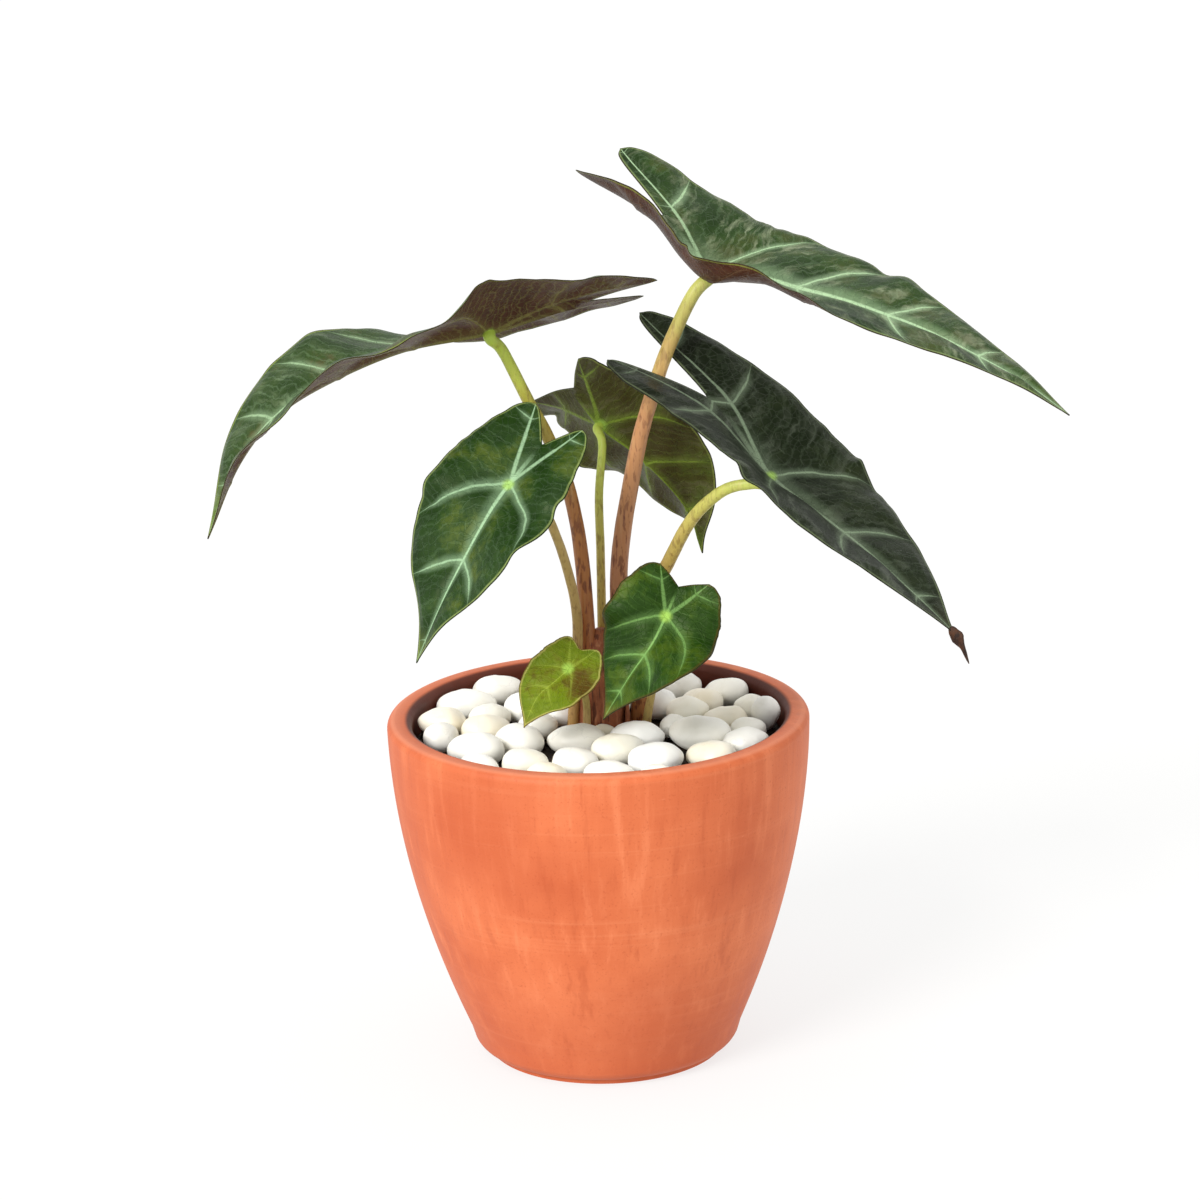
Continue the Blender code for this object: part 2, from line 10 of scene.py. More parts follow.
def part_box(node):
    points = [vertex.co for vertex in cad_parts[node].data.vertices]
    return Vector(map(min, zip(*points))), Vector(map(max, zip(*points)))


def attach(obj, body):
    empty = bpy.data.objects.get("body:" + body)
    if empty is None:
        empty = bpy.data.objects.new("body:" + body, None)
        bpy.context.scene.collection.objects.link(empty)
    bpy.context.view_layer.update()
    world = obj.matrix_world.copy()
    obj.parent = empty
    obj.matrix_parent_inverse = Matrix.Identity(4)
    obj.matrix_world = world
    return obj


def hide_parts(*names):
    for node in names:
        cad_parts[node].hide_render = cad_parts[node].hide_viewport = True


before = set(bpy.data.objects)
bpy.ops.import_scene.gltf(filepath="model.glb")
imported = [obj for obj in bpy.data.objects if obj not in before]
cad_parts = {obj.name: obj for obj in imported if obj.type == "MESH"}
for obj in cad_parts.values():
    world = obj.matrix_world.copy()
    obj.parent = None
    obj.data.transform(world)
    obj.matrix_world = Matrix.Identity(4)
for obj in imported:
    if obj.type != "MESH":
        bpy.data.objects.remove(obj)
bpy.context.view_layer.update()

MM = 0.001

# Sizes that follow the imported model
POT_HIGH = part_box("pot")[1]
RIM_RADIUS = POT_HIGH.x
POT_HEIGHT = POT_HIGH.z
SOIL_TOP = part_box("potting_soil")[1].z
PLANT_BASE_BELOW_RIM = 0.0235
PLANT_BASE = POT_HEIGHT - PLANT_BASE_BELOW_RIM
CROWN_LOW, CROWN_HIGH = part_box("stem_base")

# The pot
FOOT_RADIUS = 0.0535
WALL = 0.0105
FLOOR = 0.011
RIM_ROUND = 0.0036
FOOT_ROUND = 0.008
FOOT_STEP_HEIGHT = 0.002
FOOT_STEP_DEPTH = 0.0012
SIDE_FULLNESS = 1.87
TURNS = 180
CLAY_UNEVEN = 0.0028

# What lies in the pot
STONES = 42
STONE_SWELL = 1.06
STONE_LIFT = 0.02
CRUMBS = 420
SOIL_RINGS, SOIL_TURNS = 46, 120

# The plant: rows and columns of each blade's surface, the full depth of its midrib, and the shares of that
# depth that the blade and its edge have
LOBE_ROWS, NECK_ROWS, FRONT_ROWS, COLUMNS = 34, 14, 92, 24
RIB_DEPTH = 2.3 * MM
BLADE_SHARE = 0.27
RIM_SHARE = 0.15
STALK_TURNS = 28
STALK_FLATNESS = 0.93
TIP_TURNS = 20

# The studio: the sun's strength, width in degrees and direction, the floor's glow and the camera
SUN_STRENGTH, SUN_WIDTH = 2.7, 26.0
SUN_DIRECTION = (0.52, 0.66, -0.54)
FLOOR_GLOW = 0.75
CAMERA_PITCH, CAMERA_ROLL = 16.067, 1.6
CAMERA_LENS, SENSOR_WIDTH = 127.7, 36.0
CAMERA_DISTANCE = 1.8
CAMERA_TARGET = (0.0022, 0.0, 0.199)

FRONT_OUTLINE = {
    "long": [(0.02, 1.0), (0.22, 0.93), (0.42, 0.79), (0.62, 0.58), (0.80, 0.33), (0.93, 0.11), (1.0, 0.0)],
    "broad": [(0.0, 0.94), (0.24, 1.0), (0.40, 0.92), (0.54, 0.77), (0.67, 0.55), (0.82, 0.27),
              (0.93, 0.09), (1.0, 0.0)],
}

# Each blade: its outline, its lobes and half widths in mm (left, right), the notch, the stalk's station and
# the stations along its midrib: x, y, z in mm, and the rise and curl of each half in degrees.
# "ribs" is the step between side ribs as a share of the length, "quilt" how far the blade swells between
# them in mm, "shine" how strong the painted silvery sheen is on each half, and "swells" are waves of the
# edge: side, share of the length, spread of the share and lift in mm.
BLADES = {
    "leaf_upper_right": {
        "outline": "long", "lobes": (0.40, 0.40), "widths": (41, 37), "notch": 0.44, "joint": 2,
        "stations": [
            (5, 41, 251, 22, 0, -16, 104), (32, 22, 234, 8, 0, -8, 98), (52, 8, 212, 24, -6, -12, 84),
            (80, -8, 209, 19, -8, -10, 64), (128, -30, 197, 14, 0, -8, 20), (170, -42, 177, 9, 0, 0, 0),
            (195, -50, 160, 6, 0, 0, 0)],
        "ribs": 0.245, "quilt": 2.2, "shine": (0.8, 1.0),
        "swells": [
            (-1, 0.40, 0.035, -4.0), (-1, 0.48, 0.04, 4.0), (-1, 0.22, 0.05, -2.5),
            (-1, -0.30, 0.10, 2.2), (1, 0.34, 0.05, 2.5), (1, 0.62, 0.05, -2.5), (-1, 0.72, 0.05, 2.0),
            (1, 0.1, 0.05, -1.5)],
    },
    "leaf_left_arching": {
        "outline": "long", "lobes": (0.42, 0.42), "widths": (39, 40), "notch": 0.62, "joint": 2,
        "stations": [
            (27, 10, 204, 28, -8, -18, -8), (-8, 2, 200, 37, -8, -20, -8),
            (-41, -5, 192, 44, -4, -17, -6), (-75, -15, 188, 20, 0, -2, -4),
            (-105, -25, 178, 24, 10, 28, -4), (-128, -31, 165, 0, 30, 26, -10),
            (-145, -34, 145, 8, 50, 26, -6), (-159, -35, 114, 0, 50, 20, 0)],
        "ribs": 0.21, "quilt": 2.0, "shine": (0.8, 0.9),
        "swells": [
            (-1, 0.06, 0.08, 2.2), (-1, 0.36, 0.07, -4.5), (-1, 0.58, 0.07, 3.2),
            (-1, 0.80, 0.05, -1.5), (1, 0.3, 0.06, 2.0), (1, 0.5, 0.05, -3.0), (1, 0.66, 0.05, 2.0),
            (-1, -0.5, 0.1, -1.5)],
    },
    "leaf_right_dark": {
        "outline": "long", "lobes": (0.46, 0.46), "widths": (37, 37), "notch": 0.46, "joint": 2,
        "lobe_ends": (1.0, 0.9),
        "stations": [
            (11, 19, 183, 28, 0, -12, 10), (51, -8, 160, 15, 0, 0, 8), (74, -28, 132, 21, 0, 26, 6),
            (105, -58, 113, 7, 0, 18, 0), (129, -80, 95, 10, 0, 18, 0), (144, -93, 82, 10, 0, 18, 0)],
        "ribs": 0.40, "quilt": 2.0, "shine": (0.7, 1.5),
        "swells": [
            (-1, 0.17, 0.035, 3.4), (-1, 0.27, 0.04, -3.0), (-1, 0.42, 0.05, 2.0), (1, 0.1, 0.06, -2.0),
            (-1, -0.3, 0.08, 1.5)],
    },
    "leaf_back": {
        "outline": "broad", "lobes": (1.05, 0.45), "widths": (33, 32), "notch": 0.70, "joint": 1,
        "stations": [
            (-11, 41, 163, -60, 0, 60, 10), (5, 35, 141, -46, 0, 76, 0), (23, 36, 125, -34, 0, 60, 0),
            (41, 34, 103, -42, 0, 88, 0), (47, 30, 84, -42, 0, 88, 0)],
        "ribs": 0.36, "quilt": 2.0, "shine": (0.6, 1.3),
        "swells": [
            (1, 0.25, 0.07, 2.0), (-1, 0.1, 0.08, -1.5), (-1, -0.6, 0.1, 2.0), (1, 0.5, 0.06, -1.5)],
    },
    "leaf_front_left": {
        "outline": "broad", "lobes": (0.40, 0.44), "widths": (30, 33), "notch": 0.62, "joint": 1,
        "stations": [
            (-11, -22, 157, -14, -10, 30, -6), (-34, -38, 134, -10, -8, 30, -6),
            (-45, -48, 120, -6, 0, 22, 0), (-61, -56, 93, -8, 0, 28, 0), (-74, -58, 65, -8, 0, 28, 0)],
        "ribs": 0.44, "quilt": 1.8, "shine": (0.5, 0.6),
        "swells": [
            (-1, 0.3, 0.06, 1.5), (1, 0.2, 0.06, 1.5), (1, 0.5, 0.05, -1.2), (-1, -0.4, 0.1, -1.2)],
    },
    "leaf_low_right": {
        "outline": "broad", "lobes": (0.46, 0.44), "widths": (25, 25), "notch": 0.72, "joint": 1,
        "stations": [
            (37, -39, 94, -26, 0, 54, -10), (29, -48, 79, -34, 0, 46, -8), (23, -54, 69, -20, 0, 30, 0),
            (13, -58, 56, -16, 0, 30, 0), (2, -60, 39, -18, 0, 32, 0)],
        "ribs": 0.36, "quilt": 1.4, "shine": (0.7, 0.9),
        "swells": [(-1, 0.1, 0.07, 1.0), (1, 0.2, 0.07, 1.2)],
    },
    "leaf_smallest": {
        "outline": "broad", "lobes": (0.42, 0.42), "widths": (16, 14.5), "notch": 0.75, "joint": 1,
        "stations": [
            (-5, -30, 63, -20, 0, 34, 0), (-12, -36, 54, -28, 0, 40, 0), (-17, -39, 50, -28, 0, 36, 0),
            (-25, -43, 44, -28, 0, 28, 0), (-31, -46, 32, -28, 0, 24, 0)],
        "ribs": 0.38, "quilt": 0.5, "shine": (1.0, 1.0),
        "swells": [(-1, 0.2, 0.07, 0.8)],
    },
}

# Each stalk: its blade, its radii in mm at the foot and at the blade, where its route begins (x and y in
# metres) unless its packed foot says so, and the route to the blade in mm. Then come its display colours at
# the soil, part way up and at the blade, where along it the second is, and how speckled it is.
DARK_SPECK = (86, 33, 19)
STALKS = {
    "stalk_upper_right": (
        "leaf_upper_right", 4.4, 2.7, (0.0056, 0.007),
        [(10.0, 7.5, 40), (11, 8, 88), (19, 8, 133), (25, 8, 155), (33, 8, 178), (44, 8, 201)],
        (150, 82, 52), (185, 132, 86), (180, 182, 90), 0.66, 1.0),
    "stalk_left_arching": (
        "leaf_left_arching", 3.7, 2.3, (-0.0026, 0.007),
        [(-3.0, 7, 40), (-5, 7, 89), (-10, 5, 122), (-18, 1, 145), (-25, -2, 160), (-35, -3, 182)],
        (153, 77, 39), (170, 110, 57), (165, 182, 64), 0.48, 1.0),
    "stalk_back": (
        "leaf_back", 2.1, 1.7, (0.002, 0.0135),
        [(2.5, 14, 40), (3, 15, 88), (3, 18, 114), (5, 26, 134)],
        (178, 111, 63), (187, 169, 88), (180, 198, 82), 0.42, 0.9),
    "stalk_right_dark": (
        "leaf_right_dark", 3.6, 2.3, None,
        [(20, 6, 46), (25, 0, 75), (32, -7, 92), (39, -13, 107), (46, -17, 117), (56, -23, 126),
         (67, -27, 129)],
        (160, 101, 57), (180, 153, 78), (185, 194, 93), 0.52, 0.9),
    "stalk_front_left": (
        "leaf_front_left", 2.4, 1.8, None,
        [(-8, 2, 50), (-8, -1, 70), (-11, -7, 88), (-15, -13, 104), (-20, -20, 118), (-28, -29, 128)],
        (180, 139, 82), (178, 153, 90), (163, 175, 80), 0.70, 0.6),
    "stalk_low_right": (
        "leaf_low_right", 1.9, 1.4, None,
        [(24, -10, 40), (27, -26, 64), (28.5, -40, 76)],
        (187, 159, 98), (178, 163, 91), (142, 163, 57), 0.60, 0.35),
    "stalk_smallest": (
        "leaf_smallest", 1.7, 1.2, None,
        [(-5, -6, 31), (-8, -19, 46)],
        (187, 144, 100), (176, 163, 91), (153, 170, 64), 0.50, 0.35),
}

# The withered end of the dark leaf, in mm
DRY_TIP_ROUTE = [(142.5, -91.8, 84.0), (144.5, -93.4, 81.0), (147.0, -95.0, 76.5), (149.5, -96.8, 70.0)]


# ---------------------------------------------------------------- finishes

def colour(red, green, blue):
    """A display colour, 0 to 255, as the linear colour that a shader takes."""
    linear = []
    for part in (red, green, blue):
        part /= 255.0
        linear.append(part / 12.92 if part <= 0.04045 else ((part + 0.055) / 1.055) ** 2.4)
    return (*linear, 1.0)


class Wire:
    """A number on a wire between nodes, which adds Math nodes as sums are written with it."""

    def __init__(self, finish, socket):
        self.finish = finish
        self.socket = socket

    def sum(self, operation, *others):
        sockets = dict(enumerate((self, *others)))
        return self.finish.node("ShaderNodeMath", {"operation": operation}, sockets).wire(0)

    def __add__(self, other):
        return self.sum("ADD", other)

    __radd__ = __add__

    def __mul__(self, other):
        return self.sum("MULTIPLY", other)

    __rmul__ = __mul__

    def __sub__(self, other):
        return self.sum("SUBTRACT", other)

    def __rsub__(self, other):
        return (self * -1.0) + other

    def __truediv__(self, other):
        return self.sum("DIVIDE", other)

    def __pow__(self, other):
        return self.sum("POWER", other)

    def __abs__(self):
        return self.sum("ABSOLUTE")

    def least(self, other):
        return self.sum("MINIMUM", other)

    def most(self, other):
        return self.sum("MAXIMUM", other)

    def over(self, other):
        return self.sum("GREATER_THAN", other)

    def from_line(self):
        """How far the number is from the nearest whole number, 0 to a half."""
        return abs((self + 0.5).sum("FRACT") - 0.5)

    def rise(self, low, high):
        """Rises smoothly from 0 at low to 1 at high."""
        settings = {"interpolation_type": "SMOOTHSTEP"}
        sockets = {"Value": self, "From Min": low, "From Max": high}
        return self.finish.node("ShaderNodeMapRange", settings, sockets).wire("Result")

    def fall(self, low, high):
        return 1.0 - self.rise(low, high)


class Node:
    """A node that was added, and its outputs as wires."""

    def __init__(self, finish, made):
        self.finish = finish
        self.made = made

    def wire(self, output):
        return Wire(self.finish, self.made.outputs[output])


class Finish:
    """One material, with the methods that its nodes are made by."""

    def __init__(self, name, **constants):
        self.material = bpy.data.materials.new(name)
        self.material.use_nodes = True
        self.tree = self.material.node_tree
        self.shader = self.tree.nodes["Principled BSDF"]
        for socket, value in constants.items():
            self.shader.inputs[socket.replace("_", " ")].default_value = value
        self.place = self.node("ShaderNodeTexCoord").wire("Object")

    def node(self, kind, settings=None, sockets=None):
        """Adds a node: its settings are set first, then its sockets' values or links."""
        made = self.tree.nodes.new(kind)
        for setting, value in (settings or {}).items():
            setattr(made, setting, value)
        for socket, value in (sockets or {}).items():
            if isinstance(value, Wire):
                self.tree.links.new(value.socket, made.inputs[socket])
            else:
                made.inputs[socket].default_value = value
        return Node(self, made)

    def stretched(self, x, y, z, source=None):
        """The place on the piece, or another vector, multiplied by this much along each axis."""
        sockets = {"Vector": source or self.place, "Scale": (x, y, z)}
        return self.node("ShaderNodeMapping", {"vector_type": "POINT"}, sockets).wire("Vector")

    def grain(self, scale, detail=3.0, rough=0.5, vector=None, shift=0.0):
        """Cloudy noise, 0 to 1, with this many features to a metre."""
        sockets = {"Vector": vector or self.place, "W": shift, "Scale": scale, "Detail": detail,
                   "Roughness": rough}
        return self.node("ShaderNodeTexNoise", {"noise_dimensions": "4D"}, sockets).wire("Fac")

    def threads(self, x, y, z, detail, rough, shift=0.0):
        """Cloudy noise with this many features to a metre along each axis."""
        return self.grain(1.0, detail, rough, self.stretched(x, y, z), shift)

    def cells(self, scale, vector):
        """How far the place is from the edges of a net of cells."""
        sockets = {"Vector": vector, "Scale": scale}
        return self.node("ShaderNodeTexVoronoi", {"feature": "DISTANCE_TO_EDGE"}, sockets).wire("Distance")

    def mix(self, share, first, second):
        """A colour between two others, each a display colour or a wire."""
        ends = [tint if isinstance(tint, Wire) else colour(*tint) for tint in (first, second)]
        return self.node("ShaderNodeMix", {"data_type": "RGBA"}, {0: share, 6: ends[0], 7: ends[1]}).wire(2)

    def ground(self, share, first, second):
        """The colour that the other layers lie on."""
        self.base = self.mix(share, first, second)

    def lay(self, share, tint):
        """A layer of a tint over what is there, by this share."""
        self.base = self.mix(share, self.base, tint)

    def pair(self, name):
        """The two numbers of one of the mesh's own maps."""
        vector = self.node("ShaderNodeUVMap", {"uv_map": name}).wire("UV")
        split = self.node("ShaderNodeSeparateXYZ", None, {"Vector": vector})
        return split.wire("X"), split.wire("Y")

    def height(self):
        return self.node("ShaderNodeSeparateXYZ", None, {"Vector": self.place}).wire("Z")

    def finish(self, roughness, relief, depth):
        """Joins the colour, the roughness and the relief, 0 to 1 of this depth, to the shader."""
        bump = self.node("ShaderNodeBump", None, {"Height": relief, "Distance": depth, "Strength": 1.0})
        results = {"Base Color": self.base, "Roughness": roughness, "Normal": bump.wire("Normal")}
        for socket, wire in results.items():
            self.tree.links.new(wire.socket, self.shader.inputs[socket])
        return self.material


def clay_finish():
    """Smooth terracotta: soft brush lines, pale scuffs, painted shade on the inside and towards the bottom,
    and a painted highlight along the top of the rim.
    """
    clay = Finish("brushed_terracotta", Specular_IOR_Level=0.22)
    broad = clay.grain(14.0, 3.0, 0.55)
    upright = clay.threads(150.0, 150.0, 9.0, 5.0, 0.62)
    level = clay.threads(7.0, 7.0, 420.0, 4.0, 0.6)
    fine = clay.grain(900.0, 3.0, 0.6)
    wisps = clay.threads(60.0, 60.0, 120.0, 6.0, 0.7, 3.0)
    clay.ground(broad.rise(0.32, 0.68), (196, 97, 56), (214, 117, 73))
    clay.lay(upright.rise(0.48, 0.70) * 0.60, (224, 130, 87))
    clay.lay(upright.fall(0.30, 0.46) * 0.45, (176, 80, 43))
    clay.lay(level.rise(0.52, 0.74) * 0.22, (226, 139, 96))
    clay.lay(wisps.rise(0.66, 0.74) * 0.45, (230, 152, 114))
    clay.lay(fine.fall(0.32, 0.44) * 0.35, (168, 71, 37))
    patches = clay.grain(9.0, 4.0, 0.6, shift=6.0)
    clay.lay(patches.fall(0.34, 0.56) * 0.45, (172, 74, 40))
    # Painted shade: the clay darkens towards the bottom of the pot.
    clay.lay(clay.height().fall(0.0, 0.075) * 0.50, (172, 74, 40))
    _, along = clay.pair("girth_and_height")
    inside = along.rise(0.322, 0.352)
    # Painted highlight: a lighter band along the top of the rim.
    edge = along.rise(0.27, 0.295) * along.fall(0.305, 0.325)
    clay.lay(edge * 0.45, (226, 146, 112))
    # Painted shade: the pot's inner wall and inside are laid over in dark red-brown, where shade falls
    # inside the pot.
    painted_inner_shade = clay.mix(broad.rise(0.3, 0.7), (72, 30, 18), (96, 44, 28))
    clay.lay(inside, painted_inner_shade)
    roughness = 0.50 + (upright - 0.5) * 0.25 + fine * 0.10
    relief = upright * 0.45 + level * 0.25 + fine * 0.20 + wisps * 0.25
    return clay.finish(roughness, relief, 0.35 * MM)


def soil_finish():
    soil = Finish("crumbly_potting_soil", Specular_IOR_Level=0.3)
    lumps = soil.grain(260.0, 6.0, 0.65)
    threads = soil.threads(300.0, 900.0, 300.0, 3.0, 0.5)
    soil.ground(lumps.rise(0.35, 0.7), (26, 19, 14), (66, 48, 34))
    soil.lay(threads.rise(0.62, 0.7) * 0.6, (104, 78, 52))
    return soil.finish(0.78 + lumps * 0.2, lumps + threads * 0.3, 1.6 * MM)


def pebble_finish(name, light, shade, mark, marks):
    """Polished cream stone: soft cloudy tints, faint grey marks and a few hair lines."""
    stone = Finish(name, Specular_IOR_Level=0.45)
    clouds = stone.grain(38.0, 4.0, 0.55)
    smudge = stone.grain(85.0, 5.0, 0.62, shift=2.0)
    lines = abs(stone.grain(46.0, 5.0, 0.55, shift=5.0) - 0.5)
    pits = stone.grain(1500.0, 2.0, 0.5)
    stone.ground(clouds.rise(0.34, 0.70), light, shade)
    stone.lay(smudge.rise(0.62, 0.74) * marks, mark)
    stone.lay(lines.fall(0.0, 0.012) * 0.25 * marks, mark)
    roughness = 0.26 + smudge * 0.22
    return stone.finish(roughness, clouds * 0.4 + pits * 0.15 + smudge * 0.3, 0.25 * MM)


def crown_finish():
    """The stem base: brown fibrous sheaths with pale and dark threads."""
    crown = Finish("fibrous_stem_base", Specular_IOR_Level=0.35)
    threads = crown.threads(700.0, 700.0, 40.0, 5.0, 0.6)
    patches = crown.grain(120.0, 4.0, 0.6)
    rings = crown.threads(30.0, 30.0, 300.0, 3.0, 0.5)
    crown.ground(patches.rise(0.3, 0.7), (124, 66, 40), (166, 98, 62))
    crown.lay(threads.rise(0.5, 0.72) * 0.7, (196, 136, 98))
    crown.lay(threads.fall(0.28, 0.42) * 0.75, (62, 30, 22))
    crown.lay(rings.rise(0.60, 0.70) * 0.4, (84, 44, 30))
    specks = crown.threads(520.0, 520.0, 150.0, 2.0, 0.5, 9.0)
    crown.lay(specks.rise(0.58, 0.66) * 0.7, (70, 28, 18))
    return crown.finish(0.55 + threads * 0.25, threads * 0.8 + rings * 0.4, 0.8 * MM)


def withered_finish():
    dry = Finish("withered_leaf_tip", Specular_IOR_Level=0.3)
    folds = dry.threads(900.0, 900.0, 160.0, 4.0, 0.6)
    patches = dry.grain(300.0, 3.0, 0.6)
    dry.ground(patches.rise(0.35, 0.65), (34, 18, 8), (70, 40, 18))
    dry.lay(folds.rise(0.58, 0.72) * 0.5, (104, 70, 36))
    return dry.finish(0.5 + folds * 0.3, folds, 0.5 * MM)


def stalk_finish(name, low, middle, high, turn, specks):
    """A living stalk: its colour changes along its length, with long dark specks that thin out upwards."""
    stalk = Finish(name, Specular_IOR_Level=0.4)
    _, share = stalk.pair("girth_and_length")
    clouds = stalk.grain(90.0, 4.0, 0.6)
    streak = stalk.threads(520.0, 520.0, 22.0, 4.0, 0.6)
    dashes = stalk.threads(760.0, 760.0, 210.0, 3.0, 0.5, 4.0)
    dots = stalk.threads(420.0, 420.0, 120.0, 2.0, 0.5, 9.0)
    where = share + (clouds - 0.5) * 0.22
    stalk.ground(where.rise(0.0, turn), low, middle)
    stalk.lay(where.rise(turn, 1.0), high)
    stalk.lay(streak.rise(0.5, 0.75) * 0.30, (200, 170, 122))
    stalk.lay(streak.fall(0.28, 0.46) * 0.25, DARK_SPECK)
    thin = (1.12 - where).least(1.0).most(0.0) * specks
    stalk.lay(dashes.rise(0.54, 0.63) * thin * 0.80, DARK_SPECK)
    stalk.lay(dots.rise(0.57, 0.65) * thin * 0.85, DARK_SPECK)
    stalk.lay(share.rise(0.965, 0.995) * 0.7, (160, 190, 66))
    roughness = 0.36 + streak * 0.18
    return stalk.finish(roughness, streak * 0.7 + dashes * 0.25, 0.35 * MM)


def blade_finish(name, blade, panel, light, vein, margin, line, sheen, blotch, tip, weights):
    """One side of a blade: panels between pale ribs, fine veins, a painted silvery sheen, blotches and an
    edge line.

    weights: ribs, midrib width in mm, fine veins, painted sheen, blotches, tip, net.
    """
    ribs, midrib_width, fine, shine, blotches, tips, net = weights
    leaf = Finish(name, Specular_IOR_Level=0.22, Specular_Tint=(0.80, 0.88, 0.58, 1.0))
    along, across = leaf.pair("along_and_across")
    front_step, lobe_step = leaf.pair("rib_steps")
    lobe_across, edge = leaf.pair("lobe_and_edge")
    step = blade["ribs"] * blade["front_mm"]
    wobble = (leaf.grain(48.0, 3.0, 0.5) - 0.5) * 0.16
    clouds = leaf.grain(42.0, 4.0, 0.55)
    fine_clouds = leaf.grain(260.0, 3.0, 0.6)
    in_front = front_step.over(0.0)

    near_front = (front_step + wobble).from_line() * (0.9 * step)
    near_lobe = (lobe_step + wobble).most(0.5).from_line() * (0.8 * step)
    near_lobe = near_lobe.least(abs(front_step + wobble) * (0.9 * step))
    near = in_front * near_front + (1.0 - in_front) * near_lobe
    inward = edge.rise(0.5, 12.0)
    lobe_rib = (1.0 - in_front) * (abs(lobe_across + wobble * 12.0) / (inward + 0.25)).fall(0.30, 0.95)
    lobe_rib = lobe_rib * along.fall(-0.4 * midrib_width, 0.4 * midrib_width)
    width = inward * 0.42 + 0.16
    side_rib = (near / width).fall(0.35, 1.5) * (inward * 0.6 + 0.4)
    glow = (near / width).fall(0.8, 7.0) * inward
    taper = (1.0 - along / (1.12 * blade["front_mm"])).most(0.14)
    from_middle = abs(across + wobble * 2.0) / taper
    middle = from_middle.fall(0.40 * midrib_width, midrib_width)
    middle_glow = from_middle.fall(0.8 * midrib_width, 5.0 * midrib_width)
    at_neck = along.rise(-0.9 * blade["back_mm"] * blade["notch"], 0.0)

    wide_wobble = (leaf.grain(90.0, 4.0, 0.6) - 0.5) * 3.4
    branches = in_front * front_step + (1.0 - in_front) * lobe_step
    hair = (branches * 6.0 + wide_wobble).from_line().fall(0.03, 0.16)
    web = leaf.cells(1.0, leaf.stretched(300.0, 300.0, 300.0)).fall(0.01, 0.06)

    sockets = {"X": branches * 7.0 + wide_wobble, "Y": edge * 0.07, "Z": across}
    spread = leaf.node("ShaderNodeCombineXYZ", None, sockets).wire("Vector")
    streaks = leaf.grain(1.0, 3.0, 0.6, leaf.stretched(1.0, 1.0, 0.04, spread), 1.5)
    left_shine, right_shine = blade["shine"]
    shine_here = across.over(0.0) * (shine * (right_shine - left_shine)) + shine * left_shine
    leaf.ground(clouds.rise(0.3, 0.72), panel, light)
    leaf.lay(fine_clouds.fall(0.3, 0.55) * 0.4, panel)
    # Painted sheen: silvery streaks along the side ribs, laid over the panels with a strength for each
    # half.
    painted_sheen_mask = streaks.rise(0.46, 0.72) * (clouds.rise(0.34, 0.6) * 0.7 + 0.3) * shine_here
    leaf.lay(painted_sheen_mask, sheen)
    leaf.lay((clouds + fine_clouds * 0.25).rise(0.64, 0.80) * blotches, blotch)
    leaf.lay(along.rise(0.80 * blade["front_mm"], blade["front_mm"]) * tips, tip)
    leaf.lay(web * net, vein)
    leaf.lay(hair * fine, vein)
    leaf.lay(glow * 0.36 * ribs, vein)
    leaf.lay(middle_glow * at_neck * 0.34 * ribs, vein)
    leaf.lay(side_rib.most(lobe_rib) * ribs, vein)
    leaf.lay(middle * at_neck * min(1.0, 1.6 * ribs), vein)
    spot = (along * along + across * across) ** 0.5
    leaf.lay(spot.fall(1.0, 3.6) * 0.7, (160, 200, 84))
    leaf.lay(edge.fall(0.8, 1.5) * edge.rise(0.3, 0.6) * 0.7, line)
    leaf.lay(edge.fall(0.2, 0.55), margin)
    roughness = 0.36 + fine_clouds * 0.18 + side_rib * 0.08
    relief = hair * 0.15 + web * 0.30 + fine_clouds * 0.50 + clouds * 0.6 - side_rib * 0.3
    return leaf.finish(roughness, relief, 0.55 * MM)


# ---------------------------------------------------------------- shapes

def smooth_route(points, samples):
    """A Catmull-Rom curve through the points, with this many samples to a span."""
    rows = np.array(points, dtype=float)
    rows = np.vstack([2 * rows[0] - rows[1], rows, 2 * rows[-1] - rows[-2]])
    route = []
    for index in range(1, len(rows) - 2):
        before, start, end, after = rows[index - 1:index + 3]
        for t in np.arange(samples) / samples:
            linear = (end - before) * t
            square = (2 * before - 5 * start + 4 * end - after) * t * t
            cube = (3 * start - before - 3 * end + after) * t ** 3
            route.append(0.5 * (2 * start + linear + square + cube))
    route.append(rows[-2])
    return np.array(route)


def lumpy(places, scale, seed):
    """Smooth noise, about -1 to 1, at each place."""
    shift = Vector((seed * 7.13, seed * 3.71, seed * 5.37))
    return np.array([noise.noise(Vector(place) * scale + shift) for place in places])


def uneven_on(rings, stretch, scale, seed):
    """Smooth noise at each place of some rings, drawn out along their height."""
    return lumpy(rings.reshape(-1, 3) * np.array([1.0, 1.0, stretch]), scale, seed).reshape(rings.shape[:2])


def full_turn(count):
    return np.linspace(0.0, 2 * math.pi, count, endpoint=False)


def directions(path):
    along = np.gradient(path, axis=0)
    return along / np.linalg.norm(along, axis=1)[:, None]


def reach_along(path):
    """How far each place of a path is from its start, along the path."""
    steps = np.linalg.norm(np.diff(path, axis=0), axis=1)
    return np.concatenate([[0.0], np.cumsum(steps)])


def link_new(name, data):
    thing = bpy.data.objects.new(name, data)
    bpy.context.scene.collection.objects.link(thing)
    return thing


def add_piece(name, mesh, finishes, nodes):
    """A finished piece on the pot's body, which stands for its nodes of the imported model."""
    for finish in finishes:
        mesh.materials.append(finish)
    mesh.polygons.foreach_set("use_smooth", [True] * len(mesh.polygons))
    piece = link_new(name, mesh)
    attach(piece, "root")
    if nodes:
        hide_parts(*nodes)
    return piece


